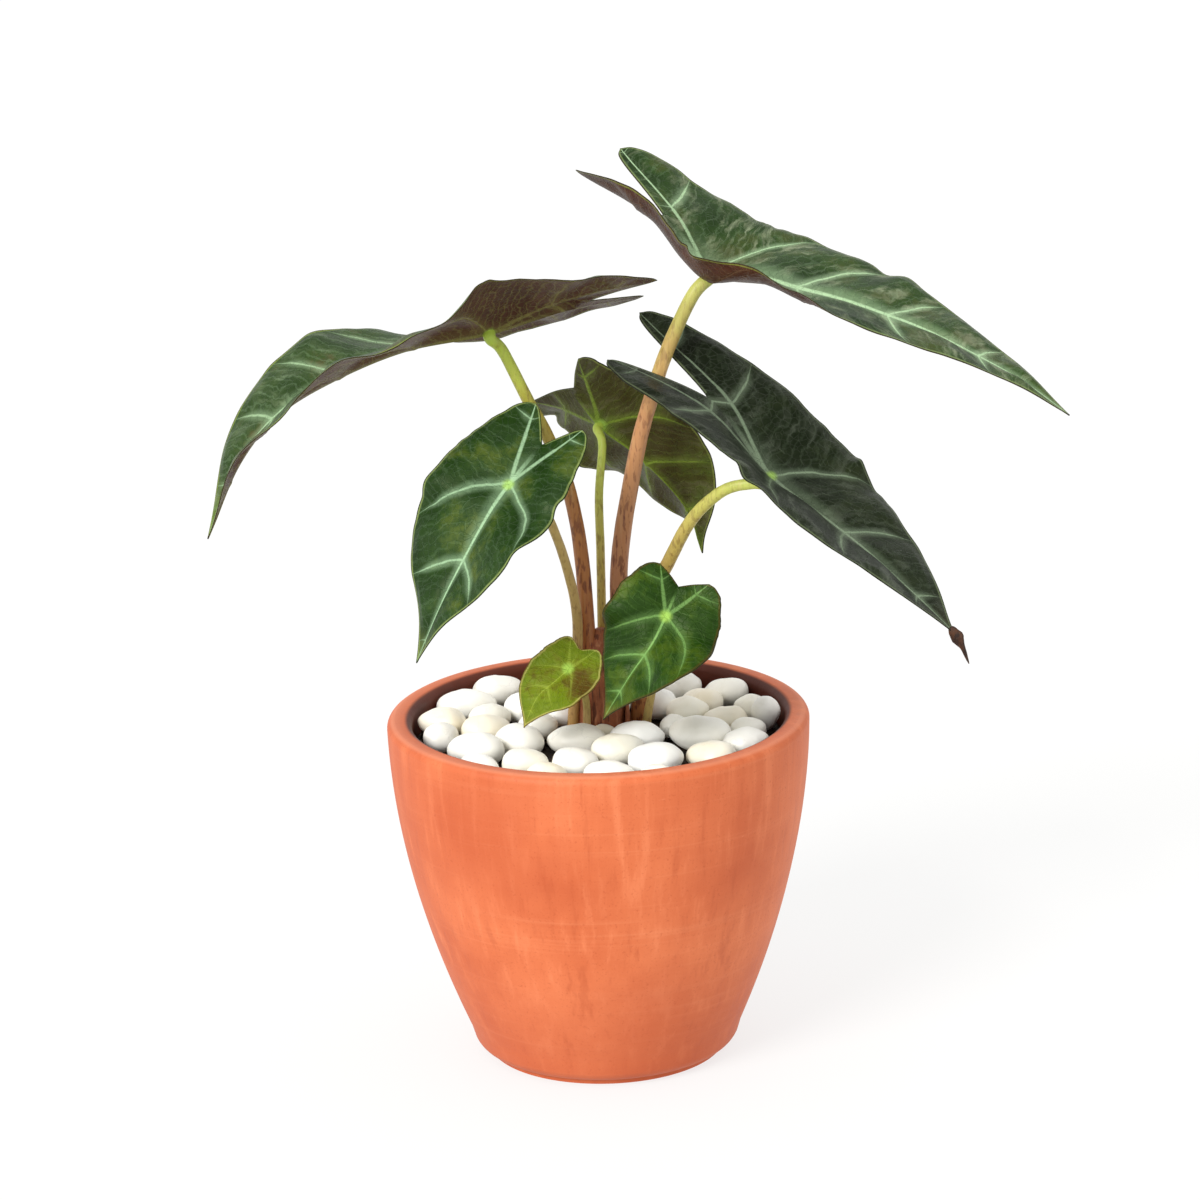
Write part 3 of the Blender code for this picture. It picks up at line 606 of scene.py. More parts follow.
def grid_mesh(name, rings, closed_across, maps):
    """A mesh over rows of places. The ends of each row are joined where it is closed across.

    maps: for each of the mesh's own maps, what gives its two numbers at a row and a column.
    """
    rows, columns = rings.shape[:2]
    faces = []
    corners = []
    for row in range(rows - 1):
        for column in range(columns - (0 if closed_across else 1)):
            after = (column + 1) % columns
            faces.append((row * columns + column, row * columns + after,
                          (row + 1) * columns + after, (row + 1) * columns + column))
            corners.append(((row, column), (row, column + 1), (row + 1, column + 1), (row + 1, column)))
    mesh = bpy.data.meshes.new(name)
    mesh.from_pydata(rings.reshape(-1, 3).tolist(), [], faces)
    for map_name, values in maps.items():
        numbers = [part for face in corners for corner in face for part in values(*corner)]
        mesh.uv_layers.new(name=map_name).data.foreach_set("uv", numbers)
    return mesh


def closed_up(mesh):
    """Joins places that coincide, fills open ends and turns the faces outwards."""
    bm = bmesh.new()
    bm.from_mesh(mesh)
    bmesh.ops.remove_doubles(bm, verts=bm.verts, dist=0.001 * MM)
    open_edges = [edge for edge in bm.edges if len(edge.link_faces) == 1]
    if open_edges:
        bmesh.ops.holes_fill(bm, edges=open_edges, sides=0)
    bmesh.ops.recalc_face_normals(bm, faces=bm.faces)
    bm.to_mesh(mesh)
    bm.free()
    return mesh


class Midrib:
    """A blade's middle line, with the directions to its right side and to its upper side."""

    SAMPLES = 16

    def __init__(self, blade):
        rows = smooth_route(blade["stations"], self.SAMPLES)
        self.places = rows[:, :3] * MM + np.array([0.0, 0.0, PLANT_BASE])
        self.bends = np.radians(rows[:, 3:])
        self.reach = reach_along(self.places)
        self.back = self.reach[blade["joint"] * self.SAMPLES]
        self.front = self.reach[-1] - self.back
        along = directions(self.places)
        right = np.cross(along, (0.0, 0.0, 1.0))
        self.right = right / np.linalg.norm(right, axis=1)[:, None]
        self.up = np.cross(self.right, along)

    def at(self, shares):
        """The places, directions to the right and up, and bends at length shares, one row for each."""
        shares = np.atleast_1d(shares)
        reach = self.back + np.where(shares < 0, shares * self.back, shares * self.front)
        return [np.stack([np.interp(reach, self.reach, column) for column in table.T], 1)
                for table in (self.places, self.right, self.up, self.bends)]

    def upper_side(self):
        """The direction between the two halves at the stalk, on their upper side."""
        _, right, up, bends = [table[0] for table in self.at(0.0)]
        angle = math.pi / 2 + (bends[2] - bends[0]) / 2
        return math.cos(angle) * right + math.sin(angle) * up

    def surface(self, shares, across, side, half_width):
        """The upper surface and its normals: one row for each share, across in metres."""
        place, right, up, bends = [table[:, None] for table in self.at(shares)]
        first = 0 if side < 0 else 2
        rise, curl = bends[..., first], bends[..., first + 1]
        rate = curl / half_width
        flat = np.abs(rate) < 1e-6
        rate = np.where(flat, 1.0, rate)
        out = np.where(flat, across * np.cos(rise), (np.sin(rise + rate * across) - np.sin(rise)) / rate)
        high = np.where(flat, across * np.sin(rise), (np.cos(rise) - np.cos(rise + rate * across)) / rate)
        lean = rise + np.where(flat, 0.0, rate) * across
        places = place + side * out[..., None] * right + high[..., None] * up
        normals = -side * np.sin(lean)[..., None] * right + np.cos(lean)[..., None] * up
        return places, normals


def outline_curves(blade, side):
    """The outer edge and the inner edge of one half of a blade, as curves of length and width shares."""
    lobe = blade["lobes"][0 if side < 0 else 1]
    notch = blade["notch"]
    outer = [(-1.0, lobe), (-0.95, lobe + 0.13), (-0.80, lobe + 0.26), (-0.50, 0.5 * lobe + 0.60),
             (-0.22, 0.91)]
    outer += FRONT_OUTLINE[blade["outline"]]
    inner = [(-1.0, lobe), (-0.95, lobe - 0.10), (-0.5 - 0.5 * notch, 0.42 * lobe), (-notch, 0.0)]
    return smooth_route(outer, 24), smooth_route(inner, 24)


def blade_half(blade, midrib, side, seed):
    """One half of a blade: its rows of places, how thick it is there and what its maps say.

    A blade's side is -1 on its left and 1 on its right. Its step is the distance between side ribs, and
    front_step and lobe_step are whole numbers on the ribs of its front part and of its lobes.
    """
    which = 0 if side < 0 else 1
    half = blade["widths"][which] * MM
    lobe = blade["lobes"][which]
    lobe_end = blade.get("lobe_ends", (1.0, 1.0))[which]
    notch = blade["notch"]
    turn = np.linspace(0.0, 0.5 * math.pi, LOBE_ROWS + 1)[:-1]
    shares = np.concatenate([-1.0 + (1.0 - notch) * (1.0 - np.cos(turn)),
                             np.linspace(-notch, 0.0, NECK_ROWS + 1)[:-1],
                             np.linspace(0.0, 1.0, FRONT_ROWS + 1)])
    outer, inner = outline_curves(blade, side)
    edge = half * np.interp(shares, outer[:, 0], outer[:, 1])
    uneven = lumpy([(share * 9.0, side, seed) for share in shares], 1.0, seed)
    edge *= 1.0 + 0.028 * uneven * np.clip((1.0 - shares) * 4.0, 0.0, 1.0)
    root = half * np.interp(shares, inner[:, 0], inner[:, 1])
    root[LOBE_ROWS:] = 0.0
    edge = np.maximum(edge, root)
    part = np.linspace(0.0, 1.0, COLUMNS + 1) ** 0.92
    across = root[:, None] + (edge - root)[:, None] * part
    stretch = (lobe_end - notch) / (1.0 - notch)
    placed = shares + np.minimum(0.0, shares + notch) * (stretch - 1.0)
    places, normals = midrib.surface(placed, across, side, half)

    along_mm = np.where(placed < 0, placed * midrib.back, placed * midrib.front)[:, None] / MM
    along_mm = np.broadcast_to(along_mm, across.shape)
    across_mm = across / MM
    width = half / MM
    step = blade["ribs"] * midrib.front / MM
    front_step = (along_mm - 0.42 * across_mm - 0.50 * across_mm ** 2 / width) / step
    angle = math.atan2(lobe * width, midrib.back / MM)
    lobe_along = -along_mm * math.cos(angle) + across_mm * math.sin(angle)
    lobe_across = along_mm * math.sin(angle) + across_mm * math.cos(angle)
    lobe_step = (lobe_along - 0.45 * np.abs(lobe_across) - 0.30 * lobe_across ** 2 / width) / (0.85 * step)

    to_edge = (edge[:, None] - across) / MM
    to_root = (across - root[:, None]) / MM
    to_edge = np.where(shares[:, None] < -notch, np.minimum(to_edge, to_root), to_edge)
    to_edge = np.minimum(to_edge, (placed[:, None] + 1.0) * midrib.back / MM + 0.15)
    to_edge = np.maximum(to_edge, 0.0)

    in_front = front_step > 0.0
    near_front = np.abs(front_step - np.round(front_step)) * step * 0.9
    lobe_far = np.maximum(lobe_step, 0.5)
    near_lobe = np.minimum(np.abs(lobe_far - np.round(lobe_far)) * step * 0.8, np.abs(lobe_across))
    near_lobe = np.minimum(near_lobe, np.abs(front_step) * step * 0.9)
    near = np.where(in_front, near_front, near_lobe)
    reach = across / half
    open_middle = 1.0 - np.exp(-(across_mm / 3.0) ** 2)
    inward = np.clip(to_edge / 5.0, 0.0, 1.0)
    lift = blade["quilt"] * (1.0 - np.exp(-(near / (0.24 * step)) ** 2)) * open_middle * inward
    spots = list(zip(along_mm.ravel(), across_mm.ravel()))
    ripple = lumpy([(x * 0.055, y * 0.03, seed) for x, y in spots], 1.0, seed + 1).reshape(lift.shape)
    frill = lumpy([(x * 0.13, y * 0.05, seed) for x, y in spots], 1.0, seed + 9).reshape(lift.shape)
    lift = lift + 2.1 * ripple * reach ** 2 + 0.9 * frill * reach ** 3
    for swelling_side, where, spread, amount in blade["swells"]:
        if swelling_side == side:
            lift = lift + amount * np.exp(-((shares[:, None] - where) / spread) ** 2) * reach ** 3
    places = places + normals * (lift * MM)[..., None]

    rib = np.exp(-(near / 0.9) ** 2) * np.clip(to_edge / 18.0, 0.0, 1.0) * 0.26
    taper = np.clip(1.0 - placed * 0.86, 0.12, 1.0)[:, None]
    spine = np.exp(-(across_mm / (2.0 * taper)) ** 2) * taper * (placed[:, None] > -notch * 0.9)
    body = RIM_SHARE + (BLADE_SHARE - RIM_SHARE) * np.clip(to_edge / 4.0, 0.0, 1.0)
    thickness = np.clip(body + rib + spine * (1.0 - BLADE_SHARE), 0.0, 1.0)
    maps = {"along_and_across": (along_mm, side * across_mm), "rib_steps": (front_step, lobe_step),
            "lobe_and_edge": (lobe_across, to_edge)}
    return places, thickness, maps


def add_blade(name, upper, under, seed):
    """A leaf blade: two halves that meet along the midrib, thick at its ribs and thin at its edge."""
    blade = BLADES[name]
    midrib = Midrib(blade)
    verts, weights, faces = [], [], []
    corner_maps = {"along_and_across": [], "rib_steps": [], "lobe_and_edge": []}
    shared = {}    # the number of each vertex, where side 0 is for those that both halves use
    for side in (-1, 1):
        places, thickness, maps = blade_half(blade, midrib, side, seed)
        rows = len(places)
        numbers = np.empty(places.shape[:2], dtype=int)
        for row in range(rows):
            for column in range(COLUMNS + 1):
                key = (row, side, column if row else 0)
                if row == rows - 1 or (row >= LOBE_ROWS and column == 0):
                    key = (row, 0, 0)
                if key not in shared:
                    shared[key] = len(verts)
                    verts.append(places[row, column])
                    weights.append(thickness[row, column])
                numbers[row, column] = shared[key]
        for row in range(rows - 1):
            for column in range(COLUMNS):
                cell = [(row, column), (row + 1, column), (row + 1, column + 1), (row, column + 1)]
                if side > 0:
                    cell = cell[::-1]
                kept = {}
                for corner in cell:
                    kept.setdefault(int(numbers[corner]), corner)
                if len(kept) < 3:
                    continue
                faces.append(tuple(kept))
                for map_name, (first, second) in maps.items():
                    for corner in kept.values():
                        corner_maps[map_name] += [first[corner], second[corner]]
    mesh = bpy.data.meshes.new(name)
    mesh.from_pydata([tuple(v) for v in verts], [], faces)
    for map_name, values in corner_maps.items():
        mesh.uv_layers.new(name=map_name).data.foreach_set("uv", values)
    piece = add_piece(name + "_blade", mesh, (upper, under), [name])
    group = piece.vertex_groups.new(name="thickness")
    for number, weight in enumerate(weights):
        group.add([number], float(weight), "REPLACE")
    solid = piece.modifiers.new("thickness", "SOLIDIFY")
    solid.thickness = RIB_DEPTH
    solid.offset = -1.0
    solid.vertex_group = group.name
    solid.material_offset = 1
    solid.use_rim = True


def tube_rings(path, radii, sides, flat, bumps, seed):
    """Bumpy rings round a path, turned as little as possible from one to the next."""
    along = directions(path)
    across = np.cross(along[0], (0.0, 1.0, 0.0))
    rings = []
    angles = full_turn(sides)
    for place, forward, radius in zip(path, along, radii):
        across = across - forward * np.dot(across, forward)
        across /= np.linalg.norm(across)
        second = np.cross(forward, across)
        ring = [place + radius * (math.cos(a) * across + flat * math.sin(a) * second) for a in angles]
        rings.append(ring)
    rings = np.array(rings)
    centre = rings.mean(axis=1, keepdims=True)
    uneven = uneven_on(rings, 0.25, 420.0, seed)
    return centre + (rings - centre) * (1.0 + bumps * uneven[..., None])


def add_stalk(name, finish, seed):
    """A leaf stalk from the soil or the stem base to its blade, a little wider at both ends."""
    leaf, foot, tip, start, route = STALKS[name][:5]
    midrib = Midrib(BLADES[leaf])
    upper_side = midrib.upper_side()
    joint = midrib.at(0.0)[0][0]
    if start is None:
        vertices = np.array([v.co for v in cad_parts[name].data.vertices])
        ring = vertices[vertices[:, 2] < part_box(name)[0].z + 0.4 * MM]
        start = ring[:, :2].mean(axis=0)
    base = np.array([start[0], start[1], SOIL_TOP - 2.5 * MM])
    points = [base, base + np.array([0.0, 0.0, 10 * MM])]
    points += [np.array(place) * MM + np.array([0.0, 0.0, PLANT_BASE]) for place in route]
    points += [joint - upper_side * 4.2 * MM, joint - upper_side * 1.0 * MM]
    path = smooth_route(points, 9)
    reach = reach_along(path)
    share = reach / reach[-1]
    radii = (foot + (tip - foot) * share) * MM
    radii *= 1.0 + 0.22 * np.exp(-reach / (7 * MM)) + 0.20 * np.exp(-(reach[-1] - reach) / (4.5 * MM))
    rings = tube_rings(path, radii, STALK_TURNS, STALK_FLATNESS, 0.035, seed)
    maps = {"girth_and_length": lambda row, column: (column / STALK_TURNS, share[row])}
    mesh = closed_up(grid_mesh(name, rings, True, maps))
    add_piece(name + "_skin", mesh, (finish,), [name])


def add_dry_tip(finish):
    """The withered, twisted end of the dark leaf."""
    path = smooth_route(DRY_TIP_ROUTE, 8) * MM
    path += np.array([0.0, 0.0, PLANT_BASE])
    share = np.linspace(0.0, 1.0, len(path))
    radii = np.interp(share, (0.0, 0.18, 0.45, 0.8, 1.0), (0.9, 2.3, 3.8, 2.2, 0.35)) * MM
    rings = tube_rings(path, radii, TIP_TURNS, 0.38, 0.20, 77)
    centre = rings.mean(axis=1, keepdims=True)
    along = np.gradient(path, axis=0)
    for row, share_here in enumerate(share):
        turn = Matrix.Rotation(1.9 * share_here, 3, Vector(along[row]))
        rings[row] = centre[row] + (rings[row] - centre[row]) @ np.array(turn).T
    maps = {"girth_and_length": lambda row, column: (column / TIP_TURNS, share[row])}
    mesh = closed_up(grid_mesh("dry_leaf_tip", rings, True, maps))
    add_piece("dry_leaf_tip", mesh, (finish,), [])


def side_radius(height):
    """The pot's outer radius at a height."""
    share = max(0.0, 1.0 - height / POT_HEIGHT)
    return FOOT_RADIUS + (RIM_RADIUS - FOOT_RADIUS) * (1.0 - share ** SIDE_FULLNESS)


def arc(centre_x, centre_z, radius, start, end, count):
    """Places on an arc of the pot's section, between two angles in degrees."""
    angles = np.radians(np.linspace(start, end, count))
    return [(centre_x + radius * math.cos(a), centre_z + radius * math.sin(a)) for a in angles]


def turned_rings(profile, angles):
    return np.array([[(r * math.cos(a), r * math.sin(a), z) for a in angles] for r, z in profile])


def pot_profile():
    """The pot's section, from the middle of its underside round to the middle of its floor."""
    lip = POT_HEIGHT - RIM_ROUND
    side_foot = FOOT_STEP_HEIGHT + FOOT_ROUND
    centre = side_radius(side_foot) - FOOT_ROUND
    step_radius = centre + FOOT_STEP_DEPTH
    outside = [(0.0, 0.0), (0.5 * step_radius, 0.0)]
    outside += arc(step_radius - 0.4 * MM, 0.4 * MM, 0.4 * MM, -90, 0, 4)
    outside += [(step_radius, FOOT_STEP_HEIGHT - 0.3 * MM), (step_radius + 0.15 * MM, FOOT_STEP_HEIGHT)]
    outside += arc(centre, side_foot, FOOT_ROUND, -78, -22, 8)
    outside += [(side_radius(z), z) for z in np.linspace(side_foot, lip, 56)[1:]]
    rim = arc(RIM_RADIUS - RIM_ROUND, lip, RIM_ROUND, 8, 90, 11)
    rim += arc(side_radius(POT_HEIGHT) - WALL + RIM_ROUND, lip, RIM_ROUND, 90, 178, 12)
    floor_edge = FLOOR + FOOT_ROUND
    bore = [(side_radius(z) - WALL, z) for z in np.linspace(lip, floor_edge, 24)]
    corner = side_radius(floor_edge) - WALL - FOOT_ROUND
    inside = bore[1:] + arc(corner, floor_edge, FOOT_ROUND, -15, -90, 6) + [(0.0, FLOOR)]
    return outside, rim, inside


def add_pot(finish):
    """The pot, turned from its section and a little uneven."""
    outside, rim, inside = pot_profile()
    profile = np.array(outside + rim + inside)
    wear = np.concatenate([np.linspace(0.0, 0.20, len(outside)), np.linspace(0.24, 0.40, len(rim)),
                           np.linspace(0.46, 1.0, len(inside))])
    rings = turned_rings(profile, full_turn(TURNS) + 0.5 * math.pi)
    uneven = uneven_on(rings, 0.5, 26.0, 3)
    wide = rings * np.array([1.0, 1.0, 0.0])
    rings = rings + wide * (uneven * CLAY_UNEVEN)[..., None] * (profile[:, 1] > 3 * MM)[:, None, None]
    maps = {"girth_and_height": lambda row, column: (column / TURNS, wear[row])}
    mesh = closed_up(grid_mesh("clay_pot", rings, True, maps))
    add_piece("clay_pot", mesh, (finish,), ["pot"])


def add_soil(finish):
    """The soil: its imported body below, a crumbly top and loose crumbs."""
    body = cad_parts["potting_soil"]
    body.data.materials.clear()
    body.data.materials.append(finish)
    radius = side_radius(SOIL_TOP) - WALL - 0.8 * MM
    radii = np.linspace(0.0, 1.0, SOIL_RINGS) * radius
    top = turned_rings([(r, SOIL_TOP) for r in radii], full_turn(SOIL_TURNS))
    height = 1.1 * lumpy(top.reshape(-1, 3), 160.0, 8) + 0.7 * lumpy(top.reshape(-1, 3), 420.0, 9)
    top[..., 2] += (height.reshape(top.shape[:2]) + 1.0) * MM
    skirt = top[-1:] - np.array([0.0, 0.0, 3.2 * MM])
    middle = skirt * np.array([0.0, 0.0, 1.0])
    mesh = closed_up(grid_mesh("soil_top", np.concatenate([top, skirt, middle]), True, {}))
    add_piece("soil_top", mesh, (finish,), [])
    crumbs = bmesh.new()
    rng = np.random.default_rng(41)
    for _ in range(CRUMBS):
        bearing = rng.uniform(0.0, 2 * math.pi)
        reach = radius * 0.97 * math.sqrt(rng.uniform(0.0, 1.0))
        size = rng.uniform(0.7, 2.0) * MM
        height = SOIL_TOP + 1.2 * MM + 0.5 * size
        place = Vector((reach * math.cos(bearing), reach * math.sin(bearing), height))
        made = bmesh.ops.create_icosphere(crumbs, subdivisions=1, radius=size)["verts"]
        shape = Vector(rng.uniform(0.6, 1.35, 3))
        for vert in made:
            vert.co = place + vert.co * shape * float(rng.uniform(0.8, 1.15))
    mesh = bpy.data.meshes.new("soil_crumbs")
    crumbs.to_mesh(mesh)
    crumbs.free()
    add_piece("soil_crumbs", mesh, (finish,), [])


def add_stone(node, finish, seed):
    """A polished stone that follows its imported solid, with soft flats and hollows worn into it."""
    bm = bmesh.new()
    bm.from_mesh(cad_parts[node].data)
    bmesh.ops.remove_doubles(bm, verts=bm.verts, dist=0.01 * MM)
    mesh = bpy.data.meshes.new(node)
    bm.to_mesh(mesh)
    bm.free()
    bare = link_new("bare", mesh)
    bare.modifiers.new("smooth", "SUBSURF").levels = 2
    depsgraph = bpy.context.evaluated_depsgraph_get()
    smooth = bpy.data.meshes.new_from_object(bare.evaluated_get(depsgraph))
    bpy.data.objects.remove(bare)
    places = np.array([v.co for v in smooth.vertices])
    low, high = places.min(axis=0), places.max(axis=0)
    centre = (low + high) / 2
    out = places - centre
    wide = np.linalg.norm(out, axis=1).mean()
    direction = out / np.linalg.norm(out, axis=1)[:, None]
    worn = lumpy(direction, 1.25, seed) * 0.085 + lumpy(direction, 2.7, seed + 50) * 0.022
    places = centre + out * (1.05 + worn)[:, None]
    box = (high - low) / (places.max(axis=0) - places.min(axis=0))
    places = centre + (places - centre) * np.clip(box * STONE_SWELL, 0.95, 1.12)
    places[:, 2] = np.maximum(places[:, 2], SOIL_TOP + STONE_LIFT * wide)
    smooth.vertices.foreach_set("co", places.ravel())
    smooth.update()
    smooth.materials.clear()
    add_piece(node + "_polished", smooth, (finish,), [node])


def add_crown(finish):
    """The stem base: overlapping old leaf sheaths round a short thick stem."""
    centre = (Vector(CROWN_LOW) + Vector(CROWN_HIGH)) / 2
    radius = 0.5 * (CROWN_HIGH.x - CROWN_LOW.x)
    height = CROWN_HIGH.z - SOIL_TOP
    rings = []
    for z in np.linspace(-2.0 * MM, height, 40):
        share = max(0.0, z / height)
        body = radius * (1.0 - 0.26 * share ** 0.7)
        tuck = 1.0 if share < 0.55 else math.cos((share - 0.55) / 0.45 * 1.25)
        ring = []
        for a in full_turn(72):
            fold = 1.0 + 0.085 * math.cos(3 * a + 1.4 * share) + 0.035 * math.cos(7 * a - 3.0 * share)
            reach = body * tuck * fold
            ring.append((centre.x + reach * math.cos(a), centre.y + reach * math.sin(a), SOIL_TOP + z))
        rings.append(ring)
    rings = np.array(rings)
    axis = np.array([centre.x, centre.y, 0.0])
    out = (rings - axis) * np.array([1.0, 1.0, 0.0])
    rings = rings + out * (uneven_on(rings, 0.22, 330.0, 21) * 0.055)[..., None]
    mesh = closed_up(grid_mesh("stem_base", rings, True, {}))
    add_piece("stem_base_core", mesh, (finish,), ["stem_base"])
    for number, (bearing, top, spread) in enumerate(((250, 0.80, 62), (20, 0.62, 55), (140, 0.70, 60))):
        sheath = []
        for share in np.linspace(0.0, 1.0, 26):
            half = math.radians(spread) * (1.0 - share ** 2.2)
            body = radius * (1.10 - 0.22 * share * top) + 0.25 * MM + 1.1 * MM * share ** 3
            z = SOIL_TOP - 1.0 * MM + share * top * height
            row = []
            for a in math.radians(bearing) + np.linspace(-half, half, 22):
                row.append((centre.x + body * math.cos(a), centre.y + body * math.sin(a), z))
            sheath.append(row)
        sheath = np.array(sheath)
        out = (sheath - axis) * np.array([1.0, 1.0, 0.0])
        sheath = sheath + out * (uneven_on(sheath, 0.3, 300.0, 30 + number) * 0.05)[..., None]
        mesh = grid_mesh(f"old_sheath_{number + 1}", sheath, False, {})
        piece = add_piece(f"old_sheath_{number + 1}", mesh, (finish,), [])
        solid = piece.modifiers.new("thickness", "SOLIDIFY")
        solid.thickness = 0.7 * MM
        solid.offset = 0.0


# ---------------------------------------------------------------- the plant in its pot

# The two sides of each leaf, upper and under, in display colours: panels, their lighter clouds, veins,
# margin, the line inside it, painted sheen, blotches and tip. Then come the weights that blade_finish
# takes.
TINTS = {
    "leaf_upper_right": (
        ((12, 36, 4), (48, 74, 28), (166, 196, 152), (46, 37, 20), (123, 140, 86),
         (142, 150, 120), (64, 62, 30), (97, 115, 46), (0.88, 2.6, 0.06, 0.95, 0.50, 0.4, 0.05)),
        ((50, 20, 13), (78, 39, 28), (119, 93, 65), (43, 24, 15), (119, 128, 50),
         (100, 69, 56), (73, 52, 30), (97, 84, 37), (0.35, 1.3, 0.20, 0.3, 0.3, 0.3, 0.2)),
    ),
    "leaf_left_arching": (
        ((22, 45, 11), (54, 76, 32), (147, 175, 134), (48, 37, 20), (128, 145, 61),
         (110, 125, 93), (76, 54, 35), (104, 126, 37), (0.80, 1.6, 0.10, 0.60, 0.55, 0.7, 0.06)),
        ((54, 26, 19), (80, 46, 33), (126, 123, 65), (37, 24, 17), (115, 121, 50),
         (106, 78, 67), (71, 69, 30), (104, 115, 41), (0.42, 1.5, 0.26, 0.40, 0.60, 0.5, 0.22)),
    ),
    "leaf_right_dark": (
        ((11, 19, 8), (30, 39, 22), (121, 138, 112), (20, 22, 12), (97, 108, 78),
         (89, 95, 82), (37, 43, 20), (43, 35, 19), (0.80, 1.7, 0.05, 0.62, 0.30, 0.5, 0.04)),
        ((45, 35, 24), (69, 63, 43), (112, 112, 74), (30, 26, 17), (97, 108, 78),
         (86, 82, 67), (65, 60, 35), (43, 35, 19), (0.4, 1.1, 0.2, 0.3, 0.3, 0.4, 0.15)),
    ),
    "leaf_back": (
        ((26, 43, 13), (46, 67, 22), (126, 151, 80), (41, 41, 19), (130, 141, 74),
         (80, 97, 58), (67, 78, 26), (89, 113, 35), (0.7, 0.9, 0.1, 0.25, 0.3, 0.5, 0.08)),
        ((52, 43, 19), (78, 82, 35), (117, 140, 48), (33, 32, 15), (123, 132, 65),
         (106, 104, 74), (67, 86, 26), (80, 106, 33), (0.75, 0.8, 0.10, 0.45, 0.6, 0.6, 0.08)),
    ),
    "leaf_front_left": (
        ((15, 39, 7), (39, 67, 20), (153, 186, 145), (30, 41, 13), (136, 151, 86),
         (80, 104, 63), (91, 100, 33), (113, 125, 52), (0.78, 1.2, 0.04, 0.34, 0.45, 0.5, 0.05)),
        ((54, 71, 33), (74, 91, 48), (121, 140, 82), (41, 48, 22), (136, 151, 86),
         (93, 102, 74), (84, 93, 39), (113, 125, 52), (0.6, 1.0, 0.15, 0.25, 0.3, 0.5, 0.12)),
    ),
    "leaf_low_right": (
        ((14, 40, 2), (36, 68, 6), (123, 166, 91), (43, 37, 11), (73, 58, 20),
         (71, 100, 37), (86, 102, 15), (117, 113, 43), (0.54, 0.75, 0.05, 0.30, 0.40, 0.8, 0.04)),
        ((60, 82, 28), (82, 100, 43), (126, 145, 82), (43, 46, 19), (104, 104, 46),
         (93, 102, 65), (89, 97, 35), (113, 113, 48), (0.5, 0.8, 0.15, 0.2, 0.3, 0.5, 0.12)),
    ),
    "leaf_smallest": (
        ((74, 95, 4), (119, 136, 19), (149, 164, 58), (100, 82, 30), (171, 162, 89),
         (132, 140, 56), (78, 52, 13), (140, 126, 39), (0.40, 0.4, 0.08, 0.25, 0.95, 0.6, 0.08)),
        ((86, 87, 28), (108, 112, 43), (143, 149, 76), (87, 76, 30), (153, 143, 78),
         (112, 112, 71), (86, 63, 24), (130, 112, 43), (0.4, 0.4, 0.15, 0.3, 0.5, 0.5, 0.15)),
    ),
}

# Each kind of stone: its light and shaded colours, its marks and how strong they are
PEBBLES = [
    ("pebble_ivory", (250, 247, 234), (243, 237, 217), (196, 186, 164), 0.40),
    ("pebble_cream", (252, 250, 241), (246, 242, 228), (204, 196, 180), 0.25),
    ("pebble_warm", (249, 243, 226), (240, 229, 203), (188, 168, 138), 0.45),
    ("pebble_pale", (254, 253, 248), (248, 246, 238), (196, 194, 188), 0.30),
    ("pebble_marked", (250, 248, 240), (240, 236, 224), (160, 156, 148), 0.60),
]


def add_plant():
    for number, name in enumerate(BLADES):
        blade = BLADES[name]
        midrib = Midrib(blade)
        blade["front_mm"] = midrib.front / MM
        blade["back_mm"] = midrib.back / MM
        finishes = [blade_finish(f"{name}_{side}", blade, *tints)
                    for side, tints in zip(("upper", "under"), TINTS[name])]
        add_blade(name, *finishes, seed=number + 1)
    for number, name in enumerate(STALKS):
        add_stalk(name, stalk_finish(name + "_skin", *STALKS[name][5:]), number + 11)
    add_dry_tip(withered_finish())
    add_crown(crown_finish())


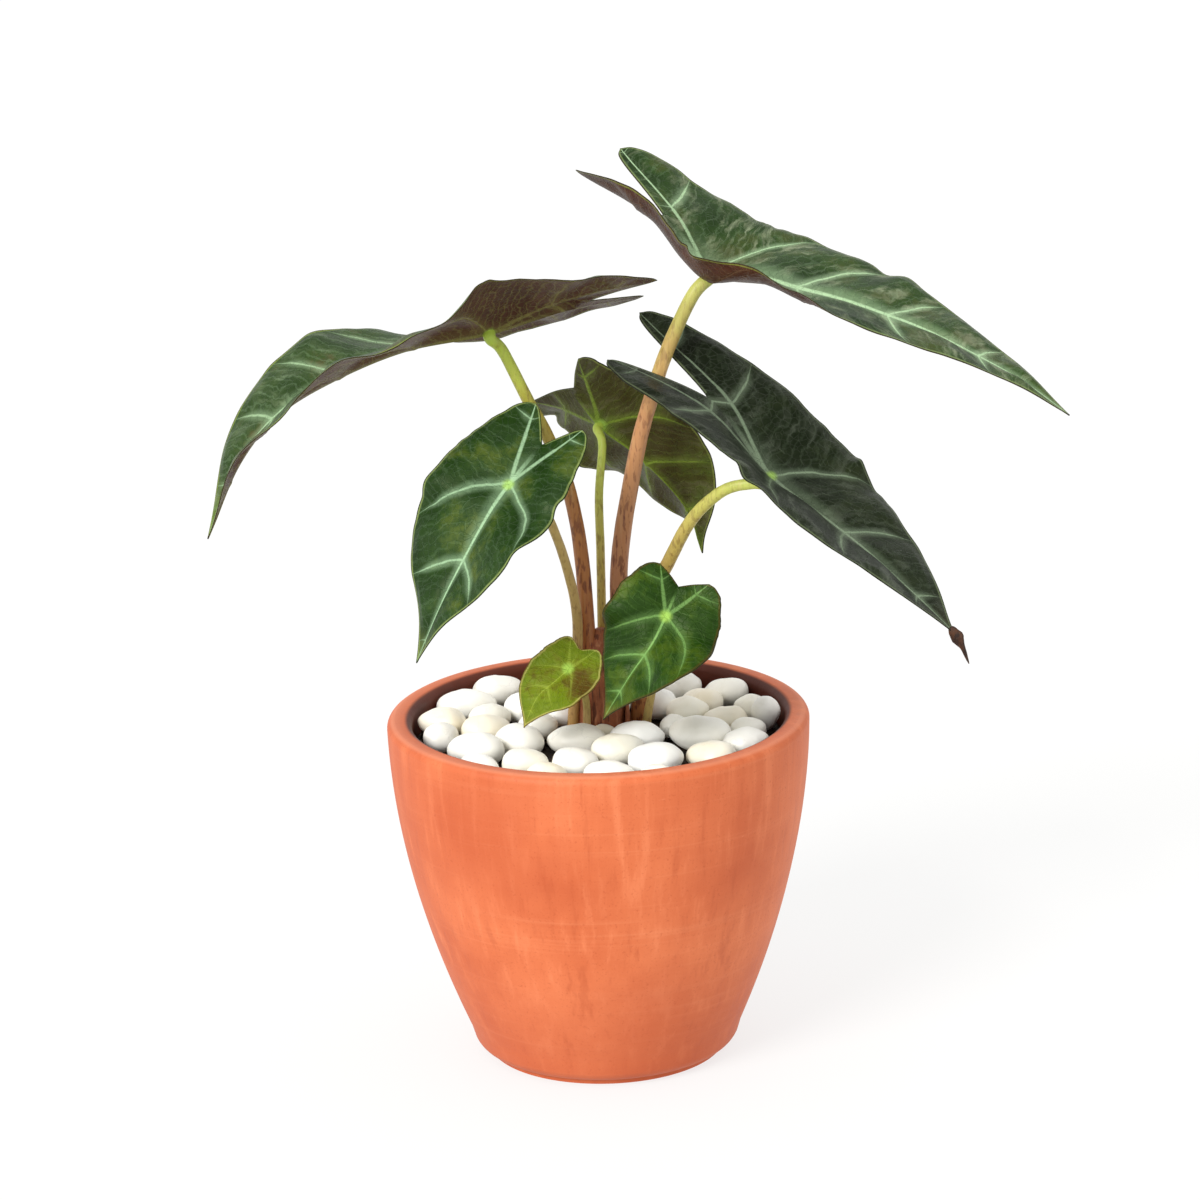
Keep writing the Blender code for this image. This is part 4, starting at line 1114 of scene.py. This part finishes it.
def add_stones():
    finishes = [pebble_finish(*kind) for kind in PEBBLES]
    for number in range(1, STONES + 1):
        add_stone(f"stone_{number:02d}", finishes[(number * 7) % len(finishes)], number)


def add_studio():
    """A pale floor, soft light from the upper left and front, and the camera."""
    floor_mesh = bpy.data.meshes.new("floor")
    floor_mesh.from_pydata([(-9, -9, 0), (9, -9, 0), (9, 12, 0), (-9, 12, 0)], [], [(0, 1, 2, 3)])
    floor = link_new("floor", floor_mesh)
    white = (1.0, 1.0, 1.0, 1.0)
    paper = Finish("pale_floor", Specular_IOR_Level=0.0, Emission_Color=white, Emission_Strength=FLOOR_GLOW)
    faint = paper.grain(2.0, 2.0)
    paper.ground(faint, (122, 122, 120), (126, 126, 124))
    floor.data.materials.append(paper.finish(0.9 + faint * 0.05, faint, 0.1 * MM))

    world = bpy.data.worlds.new("studio")
    world.use_nodes = True
    background = world.node_tree.nodes["Background"]
    background.inputs["Color"].default_value = white
    background.inputs["Strength"].default_value = 1.0
    bpy.context.scene.world = world
    window = bpy.data.lights.new("window", "SUN")
    window.energy = SUN_STRENGTH
    window.angle = math.radians(SUN_WIDTH)
    lamp = link_new("window", window)
    lamp.rotation_euler = Vector(SUN_DIRECTION).to_track_quat("-Z", "Y").to_euler()

    pitch, roll = math.radians(CAMERA_PITCH), math.radians(CAMERA_ROLL)
    forward = Vector((0.0, math.cos(pitch), -math.sin(pitch)))
    level = Vector((1.0, 0.0, 0.0))
    upward = level.cross(forward)
    right = level * math.cos(roll) - upward * math.sin(roll)
    up = upward * math.cos(roll) + level * math.sin(roll)
    camera = link_new("camera", bpy.data.cameras.new("camera"))
    camera.data.sensor_width = SENSOR_WIDTH
    camera.data.lens = CAMERA_LENS
    turned = Matrix((right, up, -forward)).transposed().to_4x4()
    camera.matrix_world = Matrix.Translation(Vector(CAMERA_TARGET) - forward * CAMERA_DISTANCE) @ turned
    bpy.context.scene.camera = camera
    bpy.context.scene.view_settings.view_transform = "Standard"


add_studio()
add_pot(clay_finish())
add_soil(soil_finish())
add_stones()
add_plant()

bpy.context.view_layer.update()
